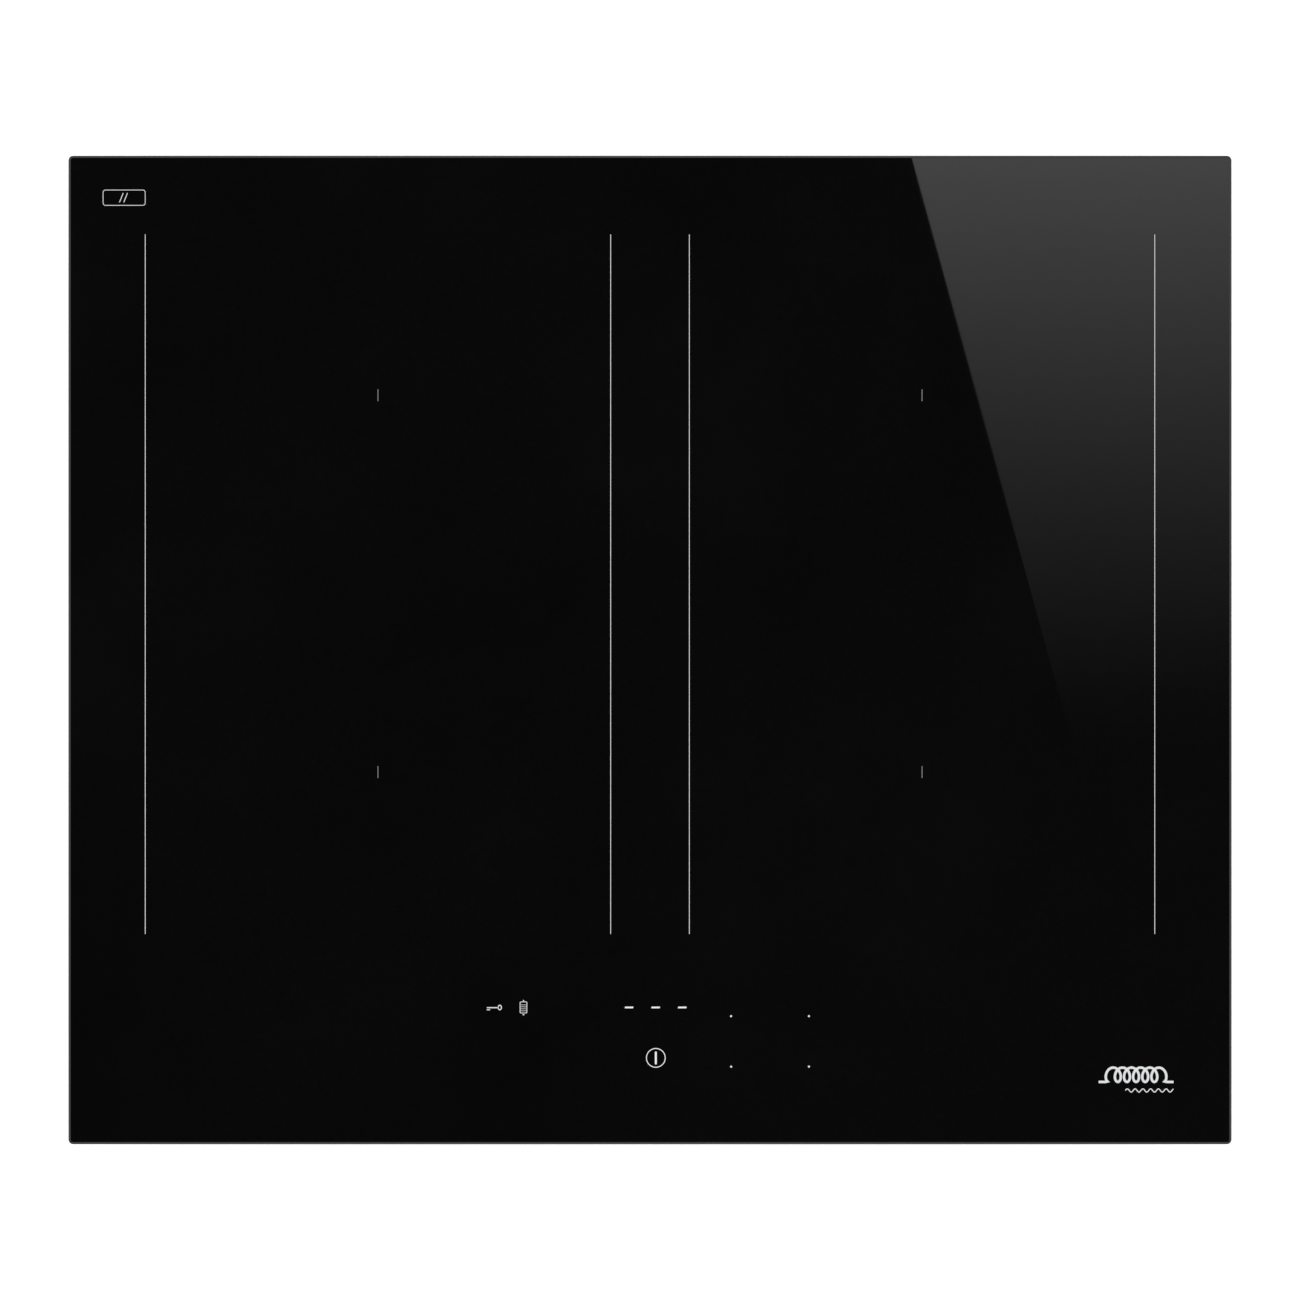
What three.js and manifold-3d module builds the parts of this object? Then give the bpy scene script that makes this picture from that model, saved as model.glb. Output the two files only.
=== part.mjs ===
// A built-in electric induction cooktop with two flexible cooking areas, as a three.js scene graph.
// Millimetres, +Z up, +X to the cook's right, +Y to the back. The origin is at the centre of the
// body's plan, at its lowest face. Each named mesh is one closed solid.
import * as THREE from "three";
import { mergeVertices } from "three/addons/utils/BufferGeometryUtils.js";
import Module from "manifold-3d";

const wasm = await Module();
wasm.setup();

// ---- driving dimensions ----
const GLASS = { width: 600, depth: 510, thickness: 4, corner: 2.5, chamfer: 0.6, underside: 50 };
const TRAY = { width: 552, depth: 474, corner: 6, top: 47.4, sheet: 1, shelf: 18, deepHalf: 222 };
const FRAME = { corner: 5, flange: 10, leg: 1, legBottom: 36, bottom: 47.6, top: 48.6 };
const BOND = { inset: 1, width: 8, corner: 4, bottom: 48.7, top: 49.9 }; // silicone under the glass
const NOTCH = { left: -222, right: -90, front: 165, roof: 26 }; // recess for the terminal box
const SEAL = { inset: 3, width: 10, corner: 6, top: 49.9, bottom: 47.5 };
const ZONE = { x: 140.25, rearY: 131.2, frontY: -63.1 }; // coil centres, mirrored left and right
const COIL = { width: 210, depth: 180, corner: 85, build: 64, bottom: 42.3, top: 48.3 };
const FORMER = { width: 216, depth: 186, corner: 88, bottom: 39, top: 42, rim: 44.5, rimWidth: 1.2 };
const PLATE = { inner: 5, outer: 268, front: -158, rear: 228, bottom: 33.4, top: 34.4 };
const FAN = { x: 118, y: 104, bottom: 2.2, top: 28.2, wall: 1.6, radius: 48, inlet: 31 };
const ROTOR = { radius: 38, bladeInner: 30, blades: 18, bottom: 6, top: 24.5, cup: 14, cupInner: 12 };
const BOARD = { inner: 12, outer: 214, front: -150, rear: 44, bottom: 7, thickness: 1.6 };
const SINK = { inner: 66, outer: 170, front: -60, rear: 36, bottom: 9.9, top: 31, fins: 12, fin: 1.8 };
const CONTROL = { y: -197, width: 216, depth: 54, bottom: 43, thickness: 1.6 };
const DISPLAY = { left: -20, right: 96, front: -221, rear: -176, top: 49.6 };
const CARRIER = { side: 6, front: 1, rear: 2, wall: 2, bottom: 36, top: 42.7, post: 3.5 };
const RIBBON = { x: -50, width: 18, thickness: 0.8 };
const SENSOR = { stem: 5.9, cap: 9, bottom: 39.3, shoulder: 42.3, top: 49.7 };
const MAT = { half: 258, rear: 225, bottom: 48.7, top: 49.7 };
const FILTER = { left: -80, right: 80, front: 172, rear: 232, bottom: 6 };
const FLOOR = { footing: 1.3 }; // where what stands on the tray's floor begins
const BOX = { left: -219, right: -93, front: 174.5, rear: 236, bottom: 3, top: 25.5, wall: 2 };
const HINGE = { y: 171.5, z: 3.2, pin: 1, bore: 1.3, barrel: 2.4, ear: 3.5 };
const COVER = { bottom: 0.8, top: 2.8, hooks: [-205, -107], ribs: [-190, -140] };
const CABLE = { x: -165, radius: 6.5, z: 10 };
const GRIP = { y: 218, half: 18, depth: 8, bottom: 3.4, top: 7.7, saddle: 5.5, screws: [-14, 14] };
const LEAD_HOLE = { x: -105, y: 188, radius: 4.5 }; // from the terminal box up into the tray
const TERMINALS = { count: 5, first: -197, pitch: 16, front: 188, rear: 204, bottom: 9, top: 23.2 };
const CLAMP = { x: 250, y: 150, reach: 50, width: 18, bore: 2.7, screw: 2.4, armBottom: 4.8, armTop: 7 };
const CLEAR = 0.3; // gap kept between pieces that meet
const CYLINDER_SIDES = 16;

// ---- materials ----
const finish = (color, roughness, metalness) =>
  new THREE.MeshStandardMaterial({ color, roughness, metalness });
const materials = {
  glass: finish(0x050505, 0.05, 0),
  silicone: finish(0x1a1a1a, 0.6, 0),
  foam: finish(0x202020, 0.95, 0),
  sheet: finish(0xa9adb0, 0.42, 0.9),
  aluminium: finish(0xc9ccd0, 0.35, 1),
  insulation: finish(0xe6e0d2, 0.9, 0),
  former: finish(0x2b2b2d, 0.6, 0),
  litz: finish(0xb4642f, 0.4, 0.8),
  sensorCap: finish(0xd8d4cc, 0.7, 0),
  board: finish(0x1f5a34, 0.5, 0),
  blackPlastic: finish(0x1b1b1d, 0.55, 0),
  greyPlastic: finish(0xb9bcbd, 0.5, 0),
  whitePlastic: finish(0xe8e8e4, 0.5, 0),
  ferrite: finish(0x3a3b3e, 0.7, 0.1),
  zincSteel: finish(0xc4c6c2, 0.3, 1),
  cableJacket: finish(0x8a8c8e, 0.6, 0),
  ribbon: finish(0xcfd1d4, 0.5, 0),
};

const cooktop = new THREE.Group();
cooktop.name = "induction_cooktop";

// ---- solids from three.js geometry ----
function solid(geometry) {
  const bare = geometry.clone();
  bare.deleteAttribute("normal");
  bare.deleteAttribute("uv");
  const merged = mergeVertices(bare, 1e-4);
  return new wasm.Manifold(
    new wasm.Mesh({
      numProp: 3,
      vertProperties: new Float32Array(merged.attributes.position.array),
      triVerts: new Uint32Array(merged.index.array),
    }),
  );
}

function geometryOf(made) {
  const mesh = made.getMesh();
  const geometry = new THREE.BufferGeometry();
  geometry.setAttribute("position", new THREE.BufferAttribute(mesh.vertProperties, 3));
  geometry.setIndex(new THREE.BufferAttribute(mesh.triVerts, 1));
  return geometry;
}

function place(name, made, material, parent = cooktop) {
  const mesh = new THREE.Mesh(made.isBufferGeometry ? made : geometryOf(made), materials[material]);
  mesh.name = name;
  parent.add(mesh);
  return mesh;
}

const joined = (...solids) => solids.reduce((all, next) => all.add(next));
const cutBy = (body, cutters) => body.subtract(joined(...cutters));

// A box between two corners.
function block(x0, x1, y0, y1, z0, z1) {
  const geometry = new THREE.BoxGeometry(x1 - x0, y1 - y0, z1 - z0);
  geometry.translate((x0 + x1) / 2, (y0 + y1) / 2, (z0 + z1) / 2);
  return solid(geometry);
}

// An upright cylinder, or a cone where the two radii differ.
function post(x, y, radius, z0, z1, sides = CYLINDER_SIDES, topRadius = radius) {
  const geometry = new THREE.CylinderGeometry(topRadius, radius, z1 - z0, sides);
  geometry.rotateX(Math.PI / 2);
  geometry.translate(x, y, (z0 + z1) / 2);
  return solid(geometry);
}

// A cylinder that lies along X or Y.
function rod(axis, from, to, across, z, radius, sides = CYLINDER_SIDES) {
  const geometry = new THREE.CylinderGeometry(radius, radius, to - from, sides);
  const middle = (from + to) / 2;
  if (axis === "x") {
    geometry.rotateZ(Math.PI / 2);
    geometry.translate(middle, across, z);
  } else {
    geometry.translate(across, middle, z);
  }
  return solid(geometry);
}

// A rectangle with round corners, centred on (x, y).
function roundedShape(width, depth, radius, x = 0, y = 0) {
  const w = width / 2;
  const d = depth / 2;
  const shape = new THREE.Shape();
  shape.moveTo(x + w, y - d + radius);
  shape.lineTo(x + w, y + d - radius);
  shape.absarc(x + w - radius, y + d - radius, radius, 0, Math.PI / 2);
  shape.lineTo(x - w + radius, y + d);
  shape.absarc(x - w + radius, y + d - radius, radius, Math.PI / 2, Math.PI);
  shape.lineTo(x - w, y - d + radius);
  shape.absarc(x - w + radius, y - d + radius, radius, Math.PI, 1.5 * Math.PI);
  shape.lineTo(x + w - radius, y - d);
  shape.absarc(x + w - radius, y - d + radius, radius, 1.5 * Math.PI, 2 * Math.PI);
  return shape;
}

// A flat outline raised from z0 to z1.
function raised(shape, z0, z1, curveSegments = 2) {
  const geometry = new THREE.ExtrudeGeometry(shape, {
    depth: z1 - z0,
    bevelEnabled: false,
    curveSegments,
  });
  geometry.translate(0, 0, z0);
  return solid(geometry);
}

// A level ring between two round-cornered rectangles; inset is its width.
function ring(width, depth, radius, inset, z0, z1, curveSegments = 2) {
  const outer = raised(roundedShape(width, depth, radius), z0, z1, curveSegments);
  const inner = roundedShape(width - 2 * inset, depth - 2 * inset, Math.max(radius - inset, 0.5));
  return outer.subtract(raised(inner, z0 - 1, z1 + 1, curveSegments));
}

// A round or flat section swept along a smooth curve through the given points.
function swept(points, section, steps) {
  const path = new THREE.CatmullRomCurve3(points.map((p) => new THREE.Vector3(...p)), false, "centripetal");
  return new THREE.ExtrudeGeometry(section, { steps, bevelEnabled: false, extrudePath: path });
}

function roundSection(radius, sides) {
  const shape = new THREE.Shape();
  for (let i = 0; i < sides; i++) {
    const angle = (2 * Math.PI * i) / sides;
    const point = [radius * Math.cos(angle), radius * Math.sin(angle)];
    if (i === 0) {
      shape.moveTo(...point);
    } else {
      shape.lineTo(...point);
    }
  }
  return shape;
}

// ---- glass, bond, frame and seal ----
function addGlassTop() {
  const { width, depth, thickness, corner, chamfer, underside } = GLASS;
  const outline = roundedShape(width - 2 * chamfer, depth - 2 * chamfer, corner - chamfer);
  const panel = new THREE.ExtrudeGeometry(outline, {
    depth: thickness - 2 * chamfer,
    bevelEnabled: true,
    bevelThickness: chamfer,
    bevelSize: chamfer,
    bevelSegments: 1,
    curveSegments: 3,
  });
  panel.translate(0, 0, underside + chamfer);
  place("glass_panel", panel, "glass");

  const sealWidth = width - 2 * SEAL.inset;
  const sealDepth = depth - 2 * SEAL.inset;
  const seal = ring(sealWidth, sealDepth, SEAL.corner, SEAL.width, SEAL.bottom, SEAL.top);
  place("edge_seal", seal, "foam");

  // The frame stands inside the tray wall; its flange turns inwards under the silicone.
  const frameWidth = TRAY.width - 2 * TRAY.sheet - 2 * CLEAR;
  const frameDepth = TRAY.depth - 2 * TRAY.sheet - 2 * CLEAR;
  const f = FRAME;
  const flange = ring(frameWidth, frameDepth, f.corner, f.flange, f.bottom, f.top);
  const leg = ring(frameWidth, frameDepth, f.corner, f.leg, f.legBottom, f.bottom + 0.4);
  place("support_frame", joined(flange, leg), "sheet");

  const bondWidth = frameWidth - 2 * BOND.inset;
  const bondDepth = frameDepth - 2 * BOND.inset;
  const bond = ring(bondWidth, bondDepth, BOND.corner, BOND.width, BOND.bottom, BOND.top);
  place("glass_bond", bond, "silicone");
}

// ---- bottom tray ----
function trayShape(inset) {
  const { width, depth, corner, top, shelf, deepHalf } = TRAY;
  const upperTop = inset ? top + 5 : top;
  const upper = raised(
    roundedShape(width - 2 * inset, depth - 2 * inset, corner - inset),
    shelf + inset,
    upperTop,
  );
  const deep = block(
    -deepHalf + inset,
    deepHalf - inset,
    -depth / 2 + inset,
    depth / 2 - inset,
    inset,
    shelf + inset + 0.5,
  );
  const notch = block(
    NOTCH.left - inset,
    NOTCH.right + inset,
    NOTCH.front - inset,
    depth / 2 + 10,
    -5,
    NOTCH.roof + inset,
  );
  return joined(upper, deep).subtract(notch);
}

// Upright air slots through a wall that faces front or back.
function wallSlots(y, xStart, count, pitch, width, z0, z1) {
  return Array.from({ length: count }, (_, i) => {
    const x = xStart + i * pitch;
    return block(x - width / 2, x + width / 2, y - 3, y + 3, z0, z1);
  });
}

// Parallel floor slots that fill a circle, for a blower's inlet.
function inletSlots(x, y, radius, count, width) {
  return Array.from({ length: count }, (_, i) => {
    const offset = (i - (count - 1) / 2) * ((2 * radius) / count);
    const half = Math.sqrt(radius * radius - offset * offset);
    return block(x - half, x + half, y + offset - width / 2, y + offset + width / 2, -3, 3);
  });
}

function addBottomTray() {
  const wallY = TRAY.depth / 2;
  const slots = [
    ...wallSlots(-wallY, -183, 14, 11, 5, 8, 28),
    ...wallSlots(-wallY, 40, 14, 11, 5, 8, 28),
    ...wallSlots(wallY, 100, 10, 11, 5, 8, 28),
    ...inletSlots(-FAN.x, FAN.y, 30, 7, 4),
    ...inletSlots(FAN.x, FAN.y, 30, 7, 4),
  ];
  const clampHoles = [-1, 1].flatMap((sx) =>
    [-1, 1].map((sy) => post(sx * CLAMP.x, sy * CLAMP.y, CLAMP.bore, TRAY.shelf - 3, TRAY.shelf + 4)),
  );
  const hole = LEAD_HOLE;
  const leadHole = post(hole.x, hole.y, hole.radius, NOTCH.roof - 3, NOTCH.roof + 4);
  const shell = trayShape(0).subtract(trayShape(TRAY.sheet));
  place("bottom_tray", cutBy(shell, [...slots, ...clampHoles, leadHole]), "sheet");
}

// ---- coils ----
const sides = [
  ["left", -1],
  ["right", 1],
];
const rows = [
  ["rear", ZONE.rearY],
  ["front", ZONE.frontY],
];

function addCoil(name, x, y, side) {
  const group = new THREE.Group();
  group.position.set(x, y, 0);
  cooktop.add(group);

  const { width, depth, corner, build, bottom, top } = COIL;
  place("coil_winding_" + name, ring(width, depth, corner, build, bottom, top, 5), "litz", group);

  const f = FORMER;
  const disc = raised(roundedShape(f.width, f.depth, f.corner), f.bottom, f.top, 5);
  const rim = ring(f.width, f.depth, f.corner, f.rimWidth, f.top - 0.5, f.rim, 5);
  const vents = Array.from({ length: 8 }, (_, i) => {
    const vent = block(46, 80, -6, 6, f.bottom - 2, f.top + 2);
    return vent.rotate([0, 0, 45 * i + 22.5]);
  });
  const stemHole = post(0, 0, 6.2, f.bottom - 1, f.top + 1, 12);
  const leadHole = post(-16 * side, -14, 3, f.bottom - 1, f.top + 1, 8);
  place("coil_former_" + name, cutBy(joined(disc, rim), [...vents, stemHole, leadHole]), "former", group);

  // A spring-backed cap that touches the mat's opening, on a stem through the former.
  const { stem, cap } = SENSOR;
  const sensor = joined(
    post(0, 0, stem, SENSOR.bottom, SENSOR.shoulder + 0.3, 12),
    post(0, 0, cap, SENSOR.shoulder, SENSOR.top - 1.7, 12),
    post(0, 0, cap, SENSOR.top - 1.7, SENSOR.top, 12, cap - 2),
  );
  place("temperature_sensor_" + name, sensor, "sensorCap", group);
}

function addCoilPlate(name, side) {
  const group = new THREE.Group();
  const x0 = side > 0 ? PLATE.inner : -PLATE.outer;
  const x1 = side > 0 ? PLATE.outer : -PLATE.inner;
  const sheet = block(x0, x1, PLATE.front, PLATE.rear, PLATE.bottom, PLATE.top);
  const legs = [20, 205].flatMap((across) =>
    [PLATE.front + 0.5, 158].map((y) => {
      const x = side * across;
      const { footing } = FLOOR;
      const shin = block(x - 10, x + 10, y - 0.5, y + 0.5, footing, PLATE.bottom + 0.5);
      const toe = y > 0 ? [y - 9, y + 0.5] : [y - 0.5, y + 9];
      return joined(shin, block(x - 10, x + 10, ...toe, footing, footing + 1));
    }),
  );
  const holes = rows.flatMap(([, y]) => [
    post(side * ZONE.x, y, 9, 30, 40, 12),
    post(side * (ZONE.x - 17), y - 15, 7.5, 30, 40, 12),
  ]);
  place("coil_plate_" + name, cutBy(joined(sheet, ...legs), holes), "aluminium", group);
  cooktop.add(group);
}

function addInsulationMat() {
  const mat = block(-MAT.half, MAT.half, PLATE.front, MAT.rear, MAT.bottom, MAT.top);
  const holes = [-ZONE.x, ZONE.x].flatMap((x) =>
    rows.map(([, y]) => post(x, y, SENSOR.cap + 1, MAT.bottom - 1, MAT.top + 1)),
  );
  place("insulation_mat", cutBy(mat, holes), "insulation");
}

// A pair of litz leads in one sleeve, from the inner turn of a coil down to its power board.
function addCoilLead(name, side, row) {
  const startY = (row === "rear" ? ZONE.rearY : ZONE.frontY) - 14;
  const start = [side * (ZONE.x - 16), startY];
  const rearRoute = [
    [...start, 38.5],
    [start[0], start[1] - 1, 33.9],
    [side * 110, startY - 6, 31],
    [side * 78, 92, 30.9],
    [side * 56, 68, 27],
    [side * 46, 46, 16],
    [side * 42, 34, 10.4],
  ];
  const frontRoute = [
    [...start, 38.5],
    [start[0] - side * 0.5, start[1] - 1, 33.9],
    [side * 118, startY - 13, 24],
    [side * 110, startY - 24, 14],
    [side * 104, startY - 29, 10.6],
  ];
  const route = row === "rear" ? rearRoute : frontRoute;
  place("coil_lead_" + name, swept(route, roundSection(1.4, 6), row === "rear" ? 16 : 10), "cableJacket");
}

// ---- power electronics ----
function addPowerSide(name, side) {
  const span = (inner, outer) => (side > 0 ? [inner, outer] : [-outer, -inner]);
  const [b0, b1] = span(BOARD.inner, BOARD.outer);
  const board = block(b0, b1, BOARD.front, BOARD.rear, BOARD.bottom, BOARD.bottom + BOARD.thickness);
  const screwHoles = [b0 + 6, b1 - 6].flatMap((x) =>
    [BOARD.front + 6, BOARD.rear - 6].map((y) => post(x, y, 2, 5, 12, 8)),
  );
  place("power_board_" + name, cutBy(board, screwHoles), "board");

  const [s0, s1] = span(SINK.inner, SINK.outer);
  const base = block(s0, s1, SINK.front, SINK.rear, SINK.bottom, SINK.bottom + 4);
  const pitch = (SINK.outer - SINK.inner - SINK.fin) / (SINK.fins - 1);
  const fins = Array.from({ length: SINK.fins }, (_, i) =>
    block(s0 + i * pitch, s0 + i * pitch + SINK.fin, SINK.front, SINK.rear, SINK.bottom + 3, SINK.top),
  );
  place("heat_sink_" + name, joined(base, ...fins), "aluminium");
}

function addFilter() {
  const { left, right, front, rear, bottom } = FILTER;
  place("filter_board", block(left, right, front, rear, bottom, bottom + BOARD.thickness), "board");
  const core = new THREE.TorusGeometry(11, 5.5, 8, 16);
  core.scale(1, 1, 1.5);
  core.translate(40, 202, 16.5);
  place("choke", core, "ferrite");
}

// ---- blowers ----
function addBlower(name, side) {
  const { y, bottom, top, wall, radius, inlet } = FAN;
  const x = side * FAN.x;
  const mouth = { left: x - 34, right: x + 34, front: y - 52 };
  const body = joined(
    post(x, y, radius, bottom, top, 32),
    block(mouth.left, mouth.right, mouth.front, y, bottom, top),
  );
  const hollow = joined(
    post(x, y, radius - wall, bottom + wall, top - wall, 32),
    block(mouth.left + wall, mouth.right - wall, mouth.front - 5, y, bottom + wall, top - wall),
  );
  const inletHole = post(x, y, inlet, bottom - 2, bottom + wall + 1, 32);
  const stator = post(x, y, 10.5, 14, top - 0.5, 20);
  const bore = post(x, y, 5, 10, top - wall, 16);
  const housing = joined(cutBy(body, [hollow, inletHole]), stator).subtract(bore);
  place("fan_housing_" + name, housing, "blackPlastic");

  const bearing = post(x, y, 4.7, 15, 25, 16).subtract(post(x, y, 1.8, 10, 30, 12));
  place("fan_bearing_" + name, bearing, "zincSteel");
  place("fan_shaft_" + name, post(x, y, 1.5, 10.3, 26, 12), "zincSteel");
  place("fan_rotor_" + name, rotorSolid().translate([x, y, 0]), "blackPlastic");
}

// A cup round the motor, a top disc, and blades that hang from it to an end ring.
function rotorSolid() {
  const { radius, bladeInner, blades, bottom, top, cup, cupInner } = ROTOR;
  const cupShell = post(0, 0, cup, 8, top, 24).subtract(post(0, 0, cupInner, 10, top + 1, 24));
  const disc = post(0, 0, radius, top - 1.5, top, 32).subtract(post(0, 0, cupInner, 0, 40, 24));
  const endRing = post(0, 0, radius, bottom, bottom + 1.5, 32).subtract(post(0, 0, bladeInner, 0, 40, 32));
  const blade = block(bladeInner + 0.4, radius - 0.6, -0.5, 0.5, bottom + 1, top - 1).rotate([0, 0, -30]);
  const reach = (bladeInner + radius) / 2;
  const centred = blade.translate([-reach * Math.cos(Math.PI / 6), reach * Math.sin(Math.PI / 6), 0]);
  const ringOfBlades = Array.from({ length: blades }, (_, i) =>
    centred.translate([reach, 0, 0]).rotate([0, 0, (360 * i) / blades]),
  );
  return joined(cupShell, disc, endRing, ...ringOfBlades);
}

// ---- controls ----
function addControls() {
  const { y, width, depth, bottom, thickness } = CONTROL;
  const boardTop = bottom + thickness;
  const half = width / 2;
  const front = y - depth / 2;
  const rear = y + depth / 2;
  place("control_board", block(-half, half, front, rear, bottom, boardTop), "board");
  const d = DISPLAY;
  const lightBox = block(d.left, d.right, d.front, d.rear, boardTop + CLEAR, d.top);
  place("display_module", lightBox, "whitePlastic");

  // A shallow tub under the board, on four posts that stand on the tray's floor.
  const c = CARRIER;
  const reach = half + c.side;
  const outer = block(-reach, reach, front - c.front, rear + c.rear, c.bottom, c.top);
  const inner = block(-reach + c.wall, reach - c.wall, front + 1, rear, c.bottom + c.wall, c.top + 2);
  const posts = [-100, 100].flatMap((x) =>
    [-216, -178].map((py) => post(x, py, c.post, FLOOR.footing, c.bottom + 0.5, 10)),
  );
  place("control_carrier", joined(outer.subtract(inner), ...posts), "blackPlastic");

  // The flat cable bends over the board's back edge and down to the left power board.
  const ribbonRoute = [
    [RIBBON.x, -174, boardTop + 0.8],
    [RIBBON.x, -169, boardTop + 1.2],
    [RIBBON.x, -164.5, 42],
    [RIBBON.x, -163, 34],
    [RIBBON.x, -163, 22],
    [RIBBON.x, -158, 13],
    [RIBBON.x, BOARD.front + 4, 9.8],
  ];
  const w = RIBBON.width / 2;
  const t = RIBBON.thickness / 2;
  const flat = new THREE.Shape();
  flat.moveTo(-w, -t);
  flat.lineTo(w, -t);
  flat.lineTo(w, t);
  flat.lineTo(-w, t);
  flat.closePath();
  place("ribbon_cable", swept(ribbonRoute, flat, 18), "ribbon");
}

// ---- mains connection ----
function addTerminalBox() {
  const { left, right, front, rear, bottom, top, wall } = BOX;
  const shell = block(left, right, front, rear, bottom, top).subtract(
    block(left + wall, right - wall, front + wall, rear - wall, bottom - 1, top - wall),
  );
  const earStarts = [left, right - HINGE.ear];
  const ears = earStarts.flatMap((x) => [
    block(x, x + HINGE.ear, HINGE.y - HINGE.barrel, front + 0.1, HINGE.z, 7),
    rod("x", x, x + HINGE.ear, HINGE.y, HINGE.z, HINGE.barrel),
  ]);
  const pinHoles = earStarts.map((x) =>
    rod("x", x - 1, x + HINGE.ear + 1, HINGE.y, HINGE.z, HINGE.bore, 12),
  );
  const bosses = GRIP.screws.map((dx) => post(CABLE.x + dx, GRIP.y, 3.5, 8, top - 1, 10));
  const cableMouth = joined(
    rod("y", rear - 5, rear + 5, CABLE.x, CABLE.z, CABLE.radius),
    block(CABLE.x - CABLE.radius, CABLE.x + CABLE.radius, rear - 5, rear + 5, 0, CABLE.z),
  );
  const leadHole = post(LEAD_HOLE.x, LEAD_HOLE.y, LEAD_HOLE.radius, top - 4, top + 4);
  const body = cutBy(joined(shell, ...ears, ...bosses), [...pinHoles, cableMouth, leadHole]);
  place("terminal_box", body, "blackPlastic");

  const pin = rod("x", left + 0.5, right - 0.5, HINGE.y, HINGE.z, HINGE.pin, 12);
  place("terminal_hinge_pin", pin, "zincSteel");
}

// Five wire holes that open to the back, each with a screw reached from below.
function addTerminalBlock() {
  const { count, first, pitch, front, rear, bottom, top } = TERMINALS;
  const centres = Array.from({ length: count }, (_, i) => first + i * pitch);
  const body = block(first - 9, centres[count - 1] + 9, front, rear, bottom, top);
  const wireHoles = centres.map((x) => rod("y", front + 6, rear + 2, x, bottom + 5, 2.2, 10));
  const screwWells = centres.map((x) => post(x, front + 8, 2.6, bottom - 1, bottom + 3, 10));
  place("terminal_block", cutBy(body, [...wireHoles, ...screwWells]), "whitePlastic");
}

// The bar that grips the mains cable, and the lead from the terminals to the filter board.
function addCableParts() {
  const { y, half, depth, bottom, top, saddle, screws } = GRIP;
  const bar = block(CABLE.x - half, CABLE.x + half, y - depth / 2, y + depth / 2, bottom, top);
  const groove = rod("y", y - depth, y + depth, CABLE.x, CABLE.z + 0.5, saddle);
  const screwHoles = screws.map((dx) => post(CABLE.x + dx, y, 1.6, bottom - 1, top + 1, 8));
  place("cable_clamp", cutBy(bar, [groove, ...screwHoles]), "greyPlastic");

  const hole = LEAD_HOLE;
  const over = NOTCH.roof + 4.2;
  const leadRoute = [
    [hole.x, hole.y, 14],
    [hole.x, hole.y, 24],
    [hole.x + 2, hole.y, over - 1.2],
    [hole.x + 9, hole.y + 1, over],
    [NOTCH.right + 3, hole.y + 2, over - 0.6],
    [FILTER.left, hole.y + 4, 24],
    [FILTER.left + 4, hole.y + 7, 15],
    [FILTER.left + 6, hole.y + 9, 10],
  ];
  place("mains_lead", swept(leadRoute, roundSection(2.2, 6), 14), "cableJacket");
}

// The cover turns about the hinge pin and hooks into the back of the box.
function addTerminalCover() {
  const { left, right, front, rear, wall } = BOX;
  const { bottom, top } = COVER;
  const start = left + HINGE.ear + CLEAR;
  const end = right - HINGE.ear - CLEAR;
  const panel = block(left, right, front + 2.4, rear, bottom, top);
  const tongue = block(start, end, HINGE.y, front + 3, bottom, top);
  const barrel = rod("x", start, end, HINGE.y, HINGE.z, HINGE.barrel);
  const hookRear = rear - wall - 0.4;
  const hooks = COVER.hooks.map((x) => block(x - 4, x + 4, hookRear - 1.6, hookRear, top - 0.5, 7));
  const ribs = COVER.ribs.map((x) =>
    block(x - 0.8, x + 0.8, front + 6, rear - 24, top - 0.5, 5),
  );
  const body = joined(panel, tongue, barrel, ...hooks, ...ribs);
  const pinHole = rod("x", left, right, HINGE.y, HINGE.z, HINGE.bore, 12);
  place("terminal_cover", body.subtract(pinHole), "blackPlastic");
}

// ---- worktop clamps ----
// At rest each arm lies along Y under the tray's shelf, pointing to the middle of the cooktop.
function addClamp(name, sx, sy) {
  const group = new THREE.Group();
  group.position.set(sx * CLAMP.x, sy * CLAMP.y, 0);
  cooktop.add(group);
  const { reach, width, bore, screw, armBottom, armTop } = CLAMP;
  const half = width / 2;
  const hole = post(0, 0, bore, 0, 20);

  // Built pointing along +Y, then turned half round where the middle lies the other way.
  const strap = block(-half, half, 0, reach, armBottom, armTop);
  const roundEnd = post(0, 0, half, armBottom, armTop, 20);
  const lip = block(-half, half, reach - 2, reach, armTop - 1, armTop + 2.5);
  const arm = joined(strap, roundEnd, lip).subtract(hole);
  place("clamp_arm_" + name, sy < 0 ? arm : arm.rotate([0, 0, 180]), "zincSteel", group);

  const nut = block(-5, 5, -5, 5, armTop + 0.2, armTop + 3.4).subtract(hole);
  place("clamp_nut_" + name, nut, "zincSteel", group);

  const head = post(0, 0, 4.6, 1, 4.5, 16, 4.9);
  const cross = [block(-3, 3, -0.5, 0.5, 0, 2.4), block(-0.5, 0.5, -3, 3, 0, 2.4)];
  const shelfTop = TRAY.shelf + TRAY.sheet;
  const shank = post(0, 0, screw, 4, shelfTop + 8, 12);
  const lockNut = post(0, 0, 5, shelfTop + CLEAR, shelfTop + 3, 6);
  const body = cutBy(joined(head, shank, lockNut), cross);
  place("clamp_screw_" + name, body, "zincSteel", group);
}

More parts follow.
